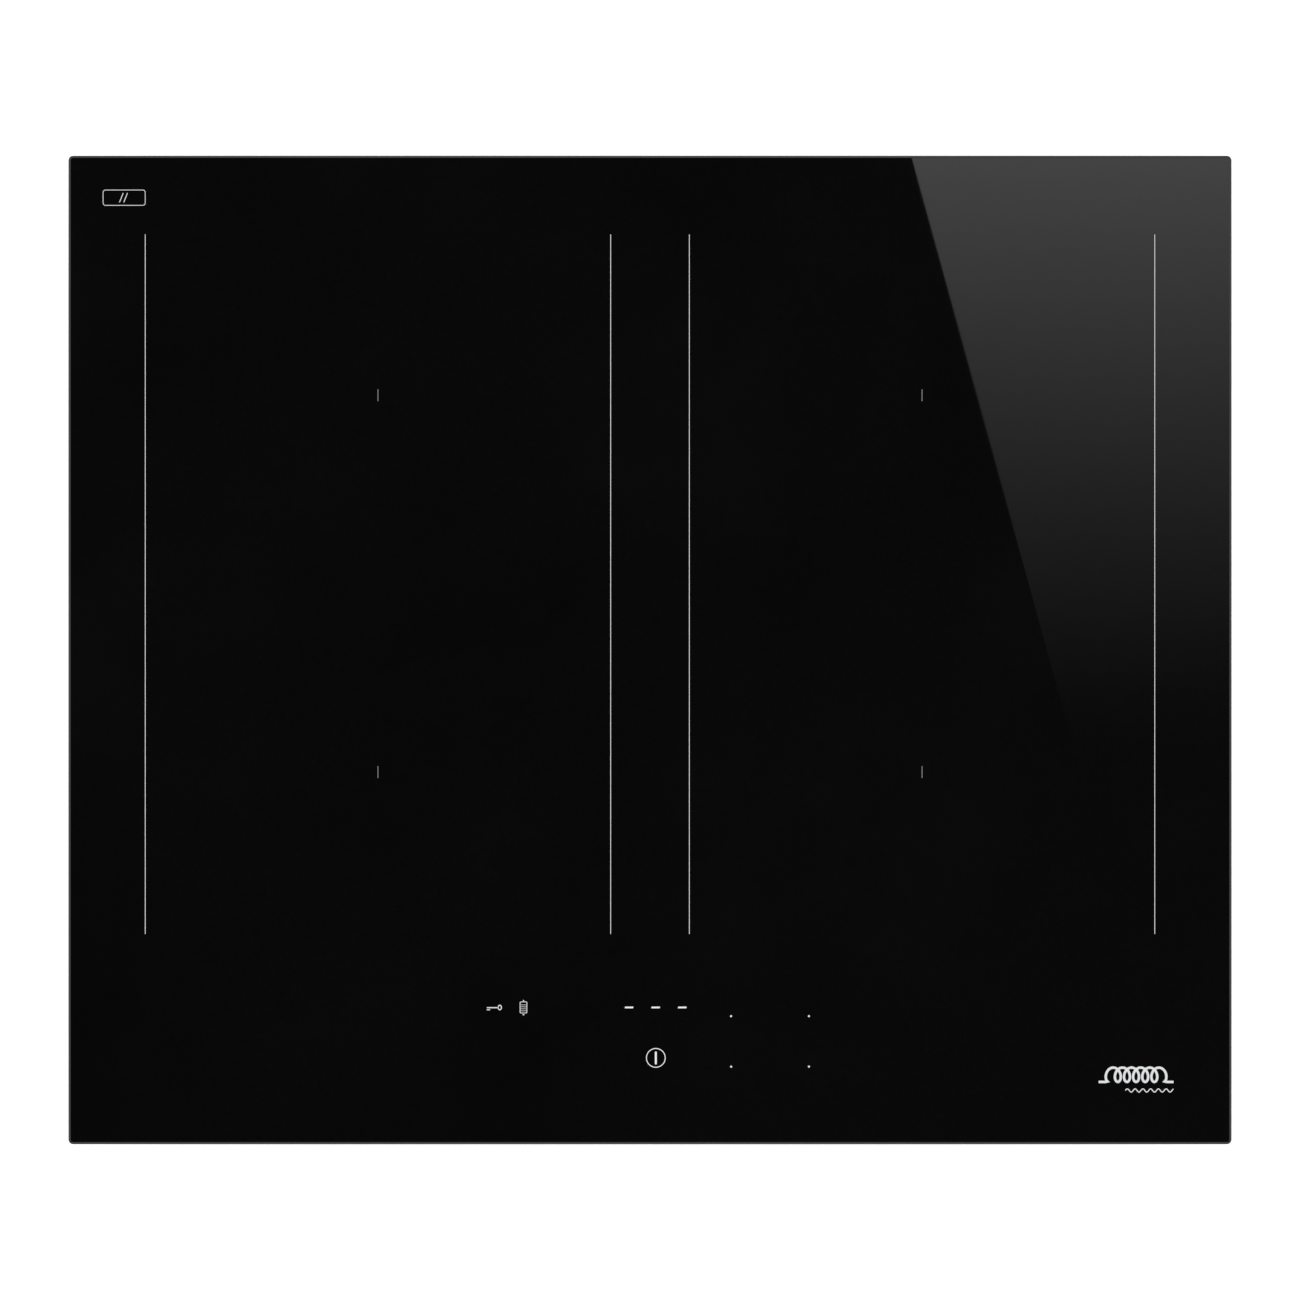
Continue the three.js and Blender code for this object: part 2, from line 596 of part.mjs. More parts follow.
addGlassTop();
addBottomTray();
addInsulationMat();
for (const [name, side] of sides) {
  addCoilPlate(name, side);
  addPowerSide(name, side);
  addBlower(name, side);
  for (const [row, y] of rows) {
    addCoil(row + "_" + name, side * ZONE.x, y, side);
    addCoilLead(row + "_" + name, side, row);
    addClamp(row + "_" + name, side, row === "rear" ? 1 : -1);
  }
}
addFilter();
addControls();
addTerminalBox();
addTerminalBlock();
addCableParts();
addTerminalCover();

export default cooktop;
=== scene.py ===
"""Builds the looks of a built-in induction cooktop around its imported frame."""

import math

import bmesh
import bpy
from mathutils import Matrix, Vector
from mathutils.kdtree import KDTree


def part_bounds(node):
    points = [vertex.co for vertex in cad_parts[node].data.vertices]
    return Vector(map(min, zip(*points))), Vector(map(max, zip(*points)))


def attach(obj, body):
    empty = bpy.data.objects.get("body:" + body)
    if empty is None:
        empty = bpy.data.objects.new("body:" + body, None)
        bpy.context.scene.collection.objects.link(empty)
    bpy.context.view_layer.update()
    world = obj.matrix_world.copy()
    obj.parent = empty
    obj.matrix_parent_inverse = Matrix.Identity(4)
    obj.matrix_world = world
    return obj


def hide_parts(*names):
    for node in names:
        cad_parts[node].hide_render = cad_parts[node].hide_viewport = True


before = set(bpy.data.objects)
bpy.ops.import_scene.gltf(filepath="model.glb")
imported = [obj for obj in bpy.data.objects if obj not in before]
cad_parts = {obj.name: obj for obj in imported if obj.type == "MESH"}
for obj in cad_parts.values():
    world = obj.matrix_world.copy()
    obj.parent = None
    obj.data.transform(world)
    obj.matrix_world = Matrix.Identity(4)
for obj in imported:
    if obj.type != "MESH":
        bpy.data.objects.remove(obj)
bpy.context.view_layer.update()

bl_info = {
    "name": "Induction cooktop",
    "version": (1, 0, 0),
    "blender": (4, 5, 0),
    "location": "View3D > Sidebar > Cooktop",
    "description": "Builds a built-in induction cooktop, piece by piece, around its frame",
    "category": "Add Mesh",
}

MM = 0.001
SIDES = (("left", -1), ("right", 1))
ROWS = (("rear", 1), ("front", -1))
QUARTERS = [(f"{row}_{side}", sx, sy) for side, sx in SIDES for row, sy in ROWS]
ROOT = "cooktop"


def centre_of(node):
    """The middle of a CAD node's box, in millimetres."""
    low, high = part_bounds(node)
    return (low + high) / 2 / MM


def span_of(node):
    """A CAD node's lowest and highest corners, in millimetres."""
    low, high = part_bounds(node)
    return low / MM, high / MM


GLASS_LOW, GLASS_HIGH = span_of("glass_panel")
GLASS_TOP = GLASS_HIGH.z
TRAY_LOW, TRAY_HIGH = span_of("bottom_tray")


# ---- settings ----
def colour(name, description, default):
    return bpy.props.FloatVectorProperty(name=name, description=description, default=default,
                                         size=3, min=0, max=1, subtype="COLOR")


def number(name, description, default, low, high, **more):
    return bpy.props.FloatProperty(name=name, description=description, default=default,
                                   min=low, max=high, **more)


def length(name, description, default, low, high):
    """A size, given in millimetres."""
    return number(name, description, default * MM, low * MM, high * MM, unit="LENGTH", precision=6)


class CooktopColours(bpy.types.PropertyGroup):
    """Colours of the finishes."""

    glass: colour("Glass", "Colour of the black glass-ceramic", (0.0027, 0.0027, 0.0029))
    mark: colour("Printed marks", "Colour of the lines fired onto the glass", (0.72, 0.73, 0.74))
    faint: colour("Centre marks", "Colour of the short mark over each coil", (0.22, 0.225, 0.23))
    lit: colour("Lit symbols", "Colour of the light behind the glass", (0.9, 0.9, 0.9))
    sheet: colour("Tray", "Colour of the galvanised tray", (0.36, 0.375, 0.385))
    copper: colour("Windings", "Colour of the coils' lacquered strands", (0.58, 0.23, 0.09))


class CooktopSizes(bpy.types.PropertyGroup):
    """Sizes that can be changed without touching the frame."""

    edge: length("Polished edge", "Width of the glass panel's rounded top edge", 1.5, 0.2, 2)
    corner: length("Glass corner", "Corner radius of the glass panel in plan", 2.6, 1, 6)
    line: length("Line width", "Width of the long zone lines", 0.31, 0.2, 2)
    ink: length("Print thickness", "How far the print stands on the glass", 0.02, 0.005, 0.1)
    turns: bpy.props.IntProperty(
        name="Coil turns", description="Turns of litz wire in each coil", default=16, min=8, max=24)
    blades: bpy.props.IntProperty(
        name="Blower blades", description="Blades on each blower's wheel", default=31, min=12, max=48)


class CooktopStage(bpy.types.PropertyGroup):
    """The camera, the floor and the studio lights."""

    camera_height: number("Camera height", "From the glass to the camera, straight above it",
                          1.861, 0.8, 6, unit="LENGTH")
    lens: number("Lens", "Focal length in millimetres", 100, 35, 200)
    floor: colour("Floor", "Colour of the pale floor", (0.93, 0.93, 0.93))
    glow: number("Floor light", "Strength of the light that comes up through the floor", 0.45, 0, 2)
    key: number("Side lights", "Power of each large soft light, in watts", 70, 0, 1000)
    sky: number("Ambient light", "Strength of the even light from all round", 0.45, 0, 4)
    sheen: number("Window strength", "Strength of the light that the glass mirrors", 1.36, 0, 5)


def colours():
    return bpy.context.scene.cooktop_colours


def sizes():
    return bpy.context.scene.cooktop_sizes


# ---- modelling by hand ----
def clear_selection():
    if bpy.context.mode != "OBJECT":
        bpy.ops.object.mode_set(mode="OBJECT")
    bpy.ops.object.select_all(action="DESELECT")


def activate(obj):
    clear_selection()
    obj.select_set(True)
    bpy.context.view_layer.objects.active = obj


def settled(name):
    """Names the piece just added and puts its place into its mesh."""
    obj = bpy.context.active_object
    obj.name = name
    obj.data.name = name
    bpy.ops.object.transform_apply(location=True, rotation=True, scale=True)
    return obj


def block(name, low, high):
    """A cuboid between two corners, in millimetres."""
    clear_selection()
    low, high = Vector(low) * MM, Vector(high) * MM
    bpy.ops.mesh.primitive_cube_add(size=1, location=(low + high) / 2, scale=high - low)
    return settled(name)


def drum(name, centre, radius, height, points, top=None, turn=(0, 0, 0)):
    """A cylinder or cone about its centre, in millimetres; turn is in degrees."""
    clear_selection()
    bpy.ops.mesh.primitive_cone_add(
        vertices=points, radius1=radius * MM, radius2=(radius if top is None else top) * MM,
        depth=height * MM, location=Vector(centre) * MM,
        rotation=[math.radians(a) for a in turn])
    return settled(name)


def pick(obj, kind, test):
    """Enters edit mode with the faces, edges or points selected that pass a test."""
    activate(obj)
    bpy.ops.object.mode_set(mode="EDIT")
    bpy.ops.mesh.select_mode(type=kind)
    bpy.ops.mesh.select_all(action="DESELECT")
    mesh = bmesh.from_edit_mesh(obj.data)
    items = {"FACE": mesh.faces, "EDGE": mesh.edges, "VERT": mesh.verts}[kind]
    found = [item for item in items if test(item)]
    for item in found:
        item.select_set(True)
    mesh.select_flush_mode()
    bmesh.update_edit_mesh(obj.data)
    return len(found)


def leave():
    bpy.ops.object.mode_set(mode="OBJECT")


def is_corner(edge, degrees=40):
    """Whether two faces meet at an edge more sharply than an angle."""
    return len(edge.link_faces) == 2 and edge.calc_face_angle(0) > math.radians(degrees)


def soften(obj, width, segments=2, test=is_corner):
    """Rounds the edges that pass a test; width is in millimetres."""
    if pick(obj, "EDGE", test):
        bpy.ops.mesh.bevel(
            offset=width * MM, segments=segments, affect="EDGES", clamp_overlap=True)
    leave()
    return obj


def smooth(obj, degrees=35):
    """Smooth shading across shallow edges that leaves the large flat faces flat."""
    activate(obj)
    bpy.ops.object.shade_smooth_by_angle(angle=math.radians(degrees))
    weigh = obj.modifiers.new("flat_faces", "WEIGHTED_NORMAL")
    weigh.keep_sharp = True
    bpy.ops.object.modifier_apply(modifier=weigh.name)
    return obj


def upright(edge):
    a, b = (v.co for v in edge.verts)
    return abs(a.x - b.x) < 1e-6 and abs(a.y - b.y) < 1e-6


def inset_faces(obj, test, width, depth):
    """Insets the faces that pass a test and moves them along their normals."""
    pick(obj, "FACE", test)
    bpy.ops.mesh.inset(thickness=width * MM, depth=depth * MM)
    leave()
    return obj


def twin(obj, name, move=(0, 0, 0), turn=0.0, axis="Z"):
    """A copy with its own mesh, turned about the origin in degrees and then moved."""
    made = obj.copy()
    made.data = obj.data.copy()
    made.name = made.data.name = name
    bpy.context.scene.collection.objects.link(made)
    turned = Matrix.Rotation(math.radians(turn), 4, axis)
    made.data.transform(Matrix.Translation(Vector(move) * MM) @ turned)
    return made


def discard(*objects):
    for obj in objects:
        bpy.data.objects.remove(obj, do_unlink=True)


def joined(name, pieces):
    """Several meshes made one."""
    clear_selection()
    for piece in pieces:
        piece.select_set(True)
    bpy.context.view_layer.objects.active = pieces[0]
    if len(pieces) > 1:
        bpy.ops.object.join()
    obj = bpy.context.active_object
    obj.name = obj.data.name = name
    return obj


def carve(obj, cutters, operation="DIFFERENCE"):
    """Cuts pieces out of another, or adds them to it."""
    tool = joined("cutter", cutters)
    activate(obj)
    modifier = obj.modifiers.new("carve", "BOOLEAN")
    modifier.operation = operation
    modifier.solver = "EXACT"
    modifier.object = tool
    bpy.ops.object.modifier_apply(modifier=modifier.name)
    discard(tool)
    return obj


def refined(node, name, width, segments=2, test=is_corner, angle=35):
    """A copy of a CAD piece with its points merged, its flat faces whole and its edges eased."""
    activate(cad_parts[node])
    bpy.ops.object.duplicate(linked=False)
    obj = bpy.context.active_object
    obj.parent = None
    for key in list(obj.keys()):
        del obj[key]
    obj.name = obj.data.name = name
    obj.data.materials.clear()
    bpy.ops.object.mode_set(mode="EDIT")
    bpy.ops.mesh.select_all(action="SELECT")
    bpy.ops.mesh.remove_doubles(threshold=4e-6)
    bpy.ops.mesh.dissolve_limited(angle_limit=math.radians(0.5))
    leave()
    if width:
        soften(obj, width, segments, test)
    return smooth(obj, angle)


def tube(name, points, radius, resolution):
    """A round wire along points in millimetres, as a mesh."""
    clear_selection()
    bpy.ops.curve.primitive_nurbs_path_add(location=(0, 0, 0))
    obj = bpy.context.active_object
    curve = obj.data
    curve.splines.clear()
    spline = curve.splines.new("POLY")
    spline.points.add(len(points) - 1)
    for knot, place in zip(spline.points, points):
        knot.co = (*(Vector(place) * MM), 1)
    curve.dimensions = "3D"
    curve.bevel_depth = radius * MM
    curve.bevel_resolution = resolution
    curve.use_fill_caps = True
    bpy.ops.object.convert(target="MESH")
    return smooth(settled(name), 50)


def spiral(centre, levels, radii, turns, steps):
    """Points that wind up from one level and radius to another, in millimetres."""
    points = []
    for i in range(round(turns * steps) + 1):
        angle, share = 2 * math.pi * i / steps, i / round(turns * steps)
        radius = radii[0] + (radii[1] - radii[0]) * share
        points.append((centre[0] + radius * math.cos(angle), centre[1] + radius * math.sin(angle),
                       levels[0] + (levels[1] - levels[0]) * share))
    return points


def bowed(points, steps=6):
    """A smooth run of points through the given ones."""
    knots = [Vector(p) for p in points]
    ends = [2 * knots[0] - knots[1]] + knots + [2 * knots[-1] - knots[-2]]
    run = []
    for i in range(1, len(ends) - 2):
        a, b, c, d = ends[i - 1:i + 3]
        for step in range(steps):
            t = step / steps
            run.append(0.5 * ((2 * b) + (c - a) * t + (2 * a - 5 * b + 4 * c - d) * t * t
                              + (3 * b - a - 3 * c + d) * t ** 3))
    return run + [knots[-1]]


# ---- node groups ----
def add_node(tree, kind, inputs, output=0, **settings):
    """Adds a shader node, feeds its inputs with sockets or values and returns one output."""
    node = tree.nodes.new("ShaderNode" + kind)
    for name, value in settings.items():
        setattr(node, name, value)
    for name, value in inputs.items():
        if isinstance(value, bpy.types.NodeSocket):
            tree.links.new(value, node.inputs[name])
        else:
            node.inputs[name].default_value = value
    return node.outputs[output]


def math_node(tree, operation, first, second=0.5):
    return add_node(tree, "Math", {0: first, 1: second}, operation=operation)


def times(tree, first, second):
    return math_node(tree, "MULTIPLY", first, second)


def blended(tree, first, share, second):
    """The first value at its share and the second at the rest."""
    return math_node(tree, "ADD", times(tree, first, share), times(tree, second, round(1 - share, 2)))


def object_place(tree):
    return add_node(tree, "TexCoord", {}, "Object")


def noise(tree, scale, detail, rough=0.55, place=None):
    place = place or object_place(tree)
    inputs = {"Vector": place, "Scale": scale, "Detail": detail, "Roughness": rough}
    return add_node(tree, "TexNoise", inputs, "Fac")


def spread(tree, value, low, high, to_low=0.0, to_high=1.0):
    """Maps a value's range onto another, clamped."""
    ends = {"From Min": low, "From Max": high, "To Min": to_low, "To Max": to_high}
    return add_node(tree, "MapRange", {"Value": value, **ends}, "Result")


def axes(tree, vector):
    return add_node(tree, "SeparateXYZ", {0: vector}, 0).node.outputs


def new_group(name, inputs, outputs):
    """An empty shader group of floats; returns it, its inputs and what feeds its outputs."""
    tree = bpy.data.node_groups.new(name, "ShaderNodeTree")
    for label, value in inputs.items():
        socket = tree.interface.new_socket(label, in_out="INPUT", socket_type="NodeSocketFloat")
        socket.default_value = value
    for label in outputs:
        tree.interface.new_socket(label, in_out="OUTPUT", socket_type="NodeSocketFloat")
    given = tree.nodes.new("NodeGroupInput").outputs
    exits = tree.nodes.new("NodeGroupOutput").inputs

    def put_out(**values):
        for label, value in values.items():
            tree.links.new(value, exits[label])
        return tree
    return tree, given, put_out


def mottle_group():
    """Slow colour variation with finer grain on top, and a height for bump."""
    tree, given, put_out = new_group("mottle", {"Scale": 60, "Grain": 900}, ("Value", "Height"))
    slow = noise(tree, given["Scale"], 4.0)
    fine = noise(tree, given["Grain"], 2.0)
    return put_out(Value=spread(tree, blended(tree, slow, 0.65, fine), 0.3, 0.7), Height=fine)


def brushed_group():
    """Fine parallel scratches along X."""
    tree, given, put_out = new_group("brushed", {"Scale": 900}, ("Value", "Height"))
    stretched = add_node(tree, "Mapping", {"Vector": object_place(tree), "Scale": (0.02, 1, 1)})
    scratches = noise(tree, given["Scale"], 4.0, 0.7, stretched)
    slow = noise(tree, 18.0, 2.0)
    return put_out(Value=spread(tree, blended(tree, scratches, 0.75, slow), 0.3, 0.7),
                   Height=scratches)


def spangle_group():
    """The crystal flakes of a zinc coat: each flake has its own shade."""
    tree, given, put_out = new_group("spangle", {"Scale": 130}, ("Value", "Height"))
    place = object_place(tree)
    warp = add_node(tree, "TexNoise", {"Vector": place, "Scale": 90}, "Color")
    bent = add_node(tree, "VectorMath", {0: warp, 1: (0.004, 0.004, 0.004), 2: place},
                    operation="MULTIPLY_ADD")
    flakes = add_node(tree, "TexVoronoi", {"Vector": bent, "Scale": given["Scale"]}, "Color")
    shade = add_node(tree, "SeparateColor", {0: flakes})
    fine = noise(tree, 1500.0, 2.0)
    return put_out(Value=blended(tree, shade, 0.7, fine), Height=fine)


def worn_edge_group():
    """A mask that is 1 where an edge is rubbed, broken up by noise."""
    tree, given, put_out = new_group("worn_edge", {"Width": 0.0006}, ("Mask",))
    rounded = add_node(tree, "Bevel", {"Radius": given["Width"]}, samples=4)
    flat = add_node(tree, "NewGeometry", {}, "Normal")
    alike = add_node(tree, "VectorMath", {0: rounded, 1: flat}, "Value", operation="DOT_PRODUCT")
    edge = spread(tree, math_node(tree, "SUBTRACT", 1.0, alike), 0.02, 0.2)
    broken = spread(tree, noise(tree, 260.0, 4.0), 0.4, 0.62)
    return put_out(Mask=times(tree, edge, broken))


def dust_group():
    """A mask of settled dust: on faces that look up, in soft patches."""
    tree, _, put_out = new_group("dust", {}, ("Mask",))
    flat = add_node(tree, "NewGeometry", {}, "Normal")
    up = spread(tree, axes(tree, flat)["Z"], 0.4, 0.95)
    patch = spread(tree, noise(tree, 35.0, 6.0, 0.65), 0.45, 0.75)
    return put_out(Mask=times(tree, up, patch))


def wire_lie(tree):
    """How far along its wire a point lies, and its angle round it."""
    lie = axes(tree, add_node(tree, "Attribute", {}, "Vector", attribute_name="wire_lie"))
    return lie["X"], math_node(tree, "ARCTAN2", lie["Z"], lie["Y"])


def ridge(tree, phase):
    return math_node(tree, "ABSOLUTE", math_node(tree, "SINE", phase))


def strand_group():
    """Strands that wind round a wire, from its own along-and-around attribute."""
    tree, given, put_out = new_group("strand", {"Strands": 9, "Pitch": 420}, ("Value", "Height"))
    along, around = wire_lie(tree)
    phase = math_node(tree, "ADD", times(tree, around, given["Strands"]),
                      times(tree, along, given["Pitch"]))
    wave = ridge(tree, times(tree, phase, 0.5))
    fleck = noise(tree, 1400.0, 2.0)
    return put_out(Value=blended(tree, wave, 0.6, fleck), Height=wave)


def braid_group():
    """A plaited sleeve: two sets of crossing threads on the wire's own attribute."""
    tree, given, put_out = new_group("braid", {"Threads": 7, "Pitch": 1100}, ("Value", "Height"))
    along, around = wire_lie(tree)
    turn = times(tree, around, given["Threads"])
    run = times(tree, along, given["Pitch"])
    crossing = [ridge(tree, math_node(tree, way, turn, run)) for way in ("ADD", "SUBTRACT")]
    top = math_node(tree, "MAXIMUM", *crossing)
    return put_out(Value=top, Height=top)


GROUP_MAKERS = {
    "mottle": mottle_group, "brushed": brushed_group, "spangle": spangle_group,
    "worn_edge": worn_edge_group, "dust": dust_group, "strand": strand_group,
    "braid": braid_group,
}


def group_node(tree, name, **values):
    """Places a shared group in a material, building it the first time."""
    node = tree.nodes.new("ShaderNodeGroup")
    node.node_tree = bpy.data.node_groups.get(name) or GROUP_MAKERS[name]()
    for label, value in values.items():
        node.inputs[label].default_value = value
    return node.outputs


def new_material(name):
    material = bpy.data.materials.new(name)
    material.use_nodes = True
    return material, material.node_tree


def colour_mix(tree, factor, first, second):
    """Mixes two colours; each is a socket or a colour."""
    ends = [end if isinstance(end, bpy.types.NodeSocket) else (*end, 1) for end in (first, second)]
    return add_node(tree, "Mix", {"Factor": factor, 6: ends[0], 7: ends[1]}, 2, data_type="RGBA")


# ---- finishes ----
DUST_TINT = (0.42, 0.4, 0.37)


def finish(name, tint, roughness, metallic=0.0, pattern="mottle", vary=0.12, rough_vary=0.08,
           bump=0.1, depth=0.02, rubbed=None, dust=0.0, coat=0.0, **settings):
    """A material of one tint with a shared pattern in its colour, roughness and relief.

    vary and rough_vary are shares of the tint and the roughness; depth is the relief in
    millimetres; rubbed is the colour of worn edges; dust is how much settles on top; what
    is left over goes to the pattern.
    """
    material, tree = new_material(name)
    shader = tree.nodes["Principled BSDF"].inputs
    shader["Metallic"].default_value = metallic
    shader["Coat Weight"].default_value = coat
    shader["Coat Roughness"].default_value = 0.08
    material.diffuse_color = (*tint, 1)
    effect = group_node(tree, pattern, **settings)
    colour = colour_mix(tree, effect["Value"], [c * (1 - vary) for c in tint],
                        [min(1, c * (1 + vary)) for c in tint])
    rough = spread(tree, effect["Value"], 0, 1,
                   roughness * (1 + rough_vary), roughness * (1 - rough_vary))
    if rubbed is not None:
        mask = group_node(tree, "worn_edge")["Mask"]
        colour = colour_mix(tree, mask, colour, rubbed)
        rough = times(tree, rough, spread(tree, mask, 0, 1, 1.0, 0.8))
    if dust:
        layer = times(tree, group_node(tree, "dust")["Mask"], dust)
        colour = colour_mix(tree, layer, colour, DUST_TINT)
        rough = math_node(tree, "ADD", rough, times(tree, layer, 0.4))
    tree.links.new(colour, shader["Base Color"])
    tree.links.new(rough, shader["Roughness"])
    if bump:
        relief = {"Strength": bump, "Distance": depth * MM, "Height": effect["Height"]}
        tree.links.new(add_node(tree, "Bump", relief), shader["Normal"])
    return material


def lit_finish(name, tint, roughness, **settings):
    """A dark window with the light of a symbol behind it, a little uneven."""
    material = finish(name, (0.01, 0.01, 0.01), roughness, vary=0.1, bump=0, **settings)
    tree = material.node_tree
    shader = tree.nodes["Principled BSDF"].inputs
    shader["Emission Strength"].default_value = 1.0
    glow = group_node(tree, "mottle", Scale=250, Grain=2000)["Value"]
    shade = colour_mix(tree, glow, [c * 0.85 for c in tint], [c * 0.98 for c in tint])
    tree.links.new(shade, shader["Emission Color"])
    return material


def finish_table():
    """Each finish's slot in the record, then its material's name, tint, roughness and the rest."""
    own = {name: tuple(getattr(colours(), name))
           for name in ("glass", "mark", "faint", "lit", "sheet", "copper")}
    print_grain = dict(vary=0.05, depth=0.004, Scale=120, Grain=3000)
    return {
        "glass": ("glass_ceramic", "black_glass_ceramic", own["glass"], 0.012,
                  dict(vary=0.25, rough_vary=0.5, bump=0, Scale=9, Grain=420)),
        "mark": ("glass_print", "fired_print", own["mark"], 0.45, print_grain),
        "faint": ("glass_print", "faint_print", own["faint"], 0.45, print_grain),
        "silicone": ("silicone", "black_silicone", (0.012, 0.012, 0.013), 0.45,
                     dict(bump=0.2, depth=0.1, Scale=70, Grain=400)),
        "foam": ("seal_foam", "seal_foam", (0.018, 0.018, 0.019), 0.92,
                 dict(vary=0.3, bump=0.8, depth=0.15, Scale=200, Grain=2200)),
        "sheet": ("galvanised_sheet", "galvanised_steel", own["sheet"], 0.36,
                  dict(metallic=0.95, pattern="spangle", vary=0.09, rough_vary=0.14, bump=0.12,
                       rubbed=(0.5, 0.51, 0.52), dust=0.1, Scale=190)),
        "aluminium": ("aluminium_sheet", "mill_aluminium", (0.72, 0.73, 0.75), 0.34,
                      dict(metallic=1.0, pattern="brushed", vary=0.1, rough_vary=0.2,
                           rubbed=(0.8, 0.8, 0.81), Scale=1100)),
        "sink": ("heat_sink_aluminium", "extruded_aluminium", (0.66, 0.67, 0.69), 0.42,
                 dict(metallic=1.0, pattern="brushed", rough_vary=0.2, bump=0.2, dust=0.15,
                      Scale=1500)),
        "insulation": ("insulation", "pressed_fibre", (0.78, 0.74, 0.66), 0.95,
                       dict(vary=0.14, bump=0.7, depth=0.2, Scale=90, Grain=1300)),
        "former": ("coil_former_plastic", "glass_filled_nylon", (0.055, 0.055, 0.058), 0.58,
                   dict(vary=0.2, bump=0.3, depth=0.05, rubbed=(0.12, 0.12, 0.12),
                        Scale=80, Grain=1400)),
        "litz": ("litz_wire", "lacquered_litz", own["copper"], 0.33,
                 dict(metallic=0.85, pattern="strand", vary=0.35, rough_vary=0.3, bump=0.9,
                      depth=0.3, coat=0.2, Strands=9, Pitch=520)),
        "ceramic": ("sensor_ceramic", "sensor_ceramic", (0.74, 0.71, 0.66), 0.6,
                    dict(vary=0.06, bump=0.2, depth=0.04, Scale=150, Grain=2500)),
        "board": ("circuit_board", "solder_mask", (0.018, 0.13, 0.05), 0.38,
                  dict(vary=0.16, bump=0.25, depth=0.04, coat=0.3, dust=0.08,
                       Scale=90, Grain=700)),
        "solder": ("solder", "bright_tin", (0.7, 0.71, 0.72), 0.28,
                   dict(metallic=1.0, vary=0.1, bump=0.3, depth=0.05, Scale=300, Grain=2500)),
        "ferrite": ("ferrite", "sintered_ferrite", (0.035, 0.035, 0.04), 0.7,
                    dict(metallic=0.1, vary=0.3, bump=0.5, depth=0.08,
                         rubbed=(0.11, 0.11, 0.115), Scale=200, Grain=2600)),
        "black": ("black_plastic", "black_moulding", (0.017, 0.017, 0.018), 0.5,
                  dict(vary=0.2, bump=0.35, depth=0.06, rubbed=(0.06, 0.06, 0.06), dust=0.06,
                       Scale=60, Grain=1700)),
        "pin": ("steel_pin", "ground_steel", (0.58, 0.58, 0.59), 0.22,
                dict(metallic=1.0, pattern="brushed", vary=0.08, Scale=2500)),
        "bronze": ("bearing_bronze", "sintered_bronze", (0.5, 0.33, 0.14), 0.45,
                   dict(metallic=1.0, vary=0.2, bump=0.4, depth=0.05, Scale=300, Grain=3000)),
        "carrier": ("frame_plastic", "carrier_moulding", (0.035, 0.035, 0.037), 0.55,
                    dict(vary=0.15, bump=0.3, depth=0.05, Scale=50, Grain=1500)),
        "white": ("white_plastic", "white_moulding", (0.72, 0.72, 0.7), 0.42,
                  dict(vary=0.05, bump=0.2, depth=0.04, Scale=70, Grain=1700)),
        "grey": ("grey_plastic", "grey_moulding", (0.36, 0.37, 0.38), 0.48,
                 dict(vary=0.08, bump=0.3, depth=0.05, Scale=70, Grain=1500)),
        "brass": ("brass_contact", "terminal_brass", (0.66, 0.47, 0.18), 0.3,
                  dict(metallic=1.0, bump=0.2, depth=0.04, Scale=200, Grain=2000)),
        "zinc": ("zinc_steel", "zinc_plate", (0.56, 0.57, 0.57), 0.3,
                 dict(metallic=1.0, vary=0.08, rough_vary=0.2, bump=0.06,
                      rubbed=(0.68, 0.68, 0.68), Scale=160, Grain=1400)),
        "sleeve": ("lead_sleeve", "braided_sleeve", (0.42, 0.39, 0.33), 0.85,
                   dict(pattern="braid", vary=0.4, bump=0.9, depth=0.15, Threads=7, Pitch=1300)),
        "jacket": ("lead_sleeve", "grey_jacket", (0.22, 0.23, 0.24), 0.5,
                   dict(vary=0.08, bump=0.2, depth=0.03, Scale=60, Grain=1200)),
        "ribbon": ("ribbon", "ribbon_jacket", (0.55, 0.56, 0.58), 0.45,
                   dict(vary=0.08, bump=0.2, depth=0.03, Scale=80, Grain=1200)),
        "film": ("capacitor_film", "dipped_resin", (0.36, 0.035, 0.02), 0.28,
                 dict(bump=0.2, depth=0.08, coat=0.4, Scale=120, Grain=1500)),
        "can": ("capacitor_film", "sleeved_can", (0.02, 0.03, 0.07), 0.3,
                dict(vary=0.1, coat=0.3, Scale=120, Grain=1500)),
        "lit": ("lit_symbol", "lit_white", own["lit"], 0.3, dict(Scale=300, Grain=2500)),
    }


MADE = {}


def look(key):
    """The material of a finish, built on first use and kept in MADE."""
    if key not in MADE:
        _, name, tint, roughness, rest = finish_table()[key]
        maker = lit_finish if key == "lit" else finish
        MADE[key] = maker(name, tint, roughness, **rest)
    return MADE[key]


def wear(obj, key, body=ROOT, stands_for=None):
    """Dresses a piece in a finish, puts it under the empty named after its body and hides the CAD node it
    stands for.
    """
    obj.data.materials.clear()
    obj.data.materials.append(look(key))
    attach(obj, body)
    finish_table()[key][0]
    if stands_for:
        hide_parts(stands_for)
    return obj


def refit(node, tail, key, width, segments=2, body=ROOT, angle=35):
    """Replaces a CAD piece by its eased copy, in one of the finishes."""
    piece = refined(node, f"{node}_{tail}", width, segments, angle=angle)
    return wear(piece, key, body, node)


# ---- stage ----
# The studio, in metres.
FLOOR_SIDE = 9
FLOOR_DROP = 0.3 * MM
LAMP_SIDE = 5
LAMP_PLACES = {"left": (-3.4, 0.6, 3.0), "right": (3.4, 0.6, 3.0),
               "front": (0, -3.6, 2.8), "back": (0, 3.8, 2.8)}
WINDOW_HEIGHT = 2.2
SCREEN_REACH = 0.8
SCREEN_GAP = 0.02
# The window's image on the glass, in millimetres: a slanted left side and a far back edge.
WINDOW_IMAGE = ((134.2, 256.5), (330, 256.5), (330, -70), (224, -70))
WINDOW_DIM, WINDOW_FULL = -67, 255
WINDOW_FALLOFF = 1.95


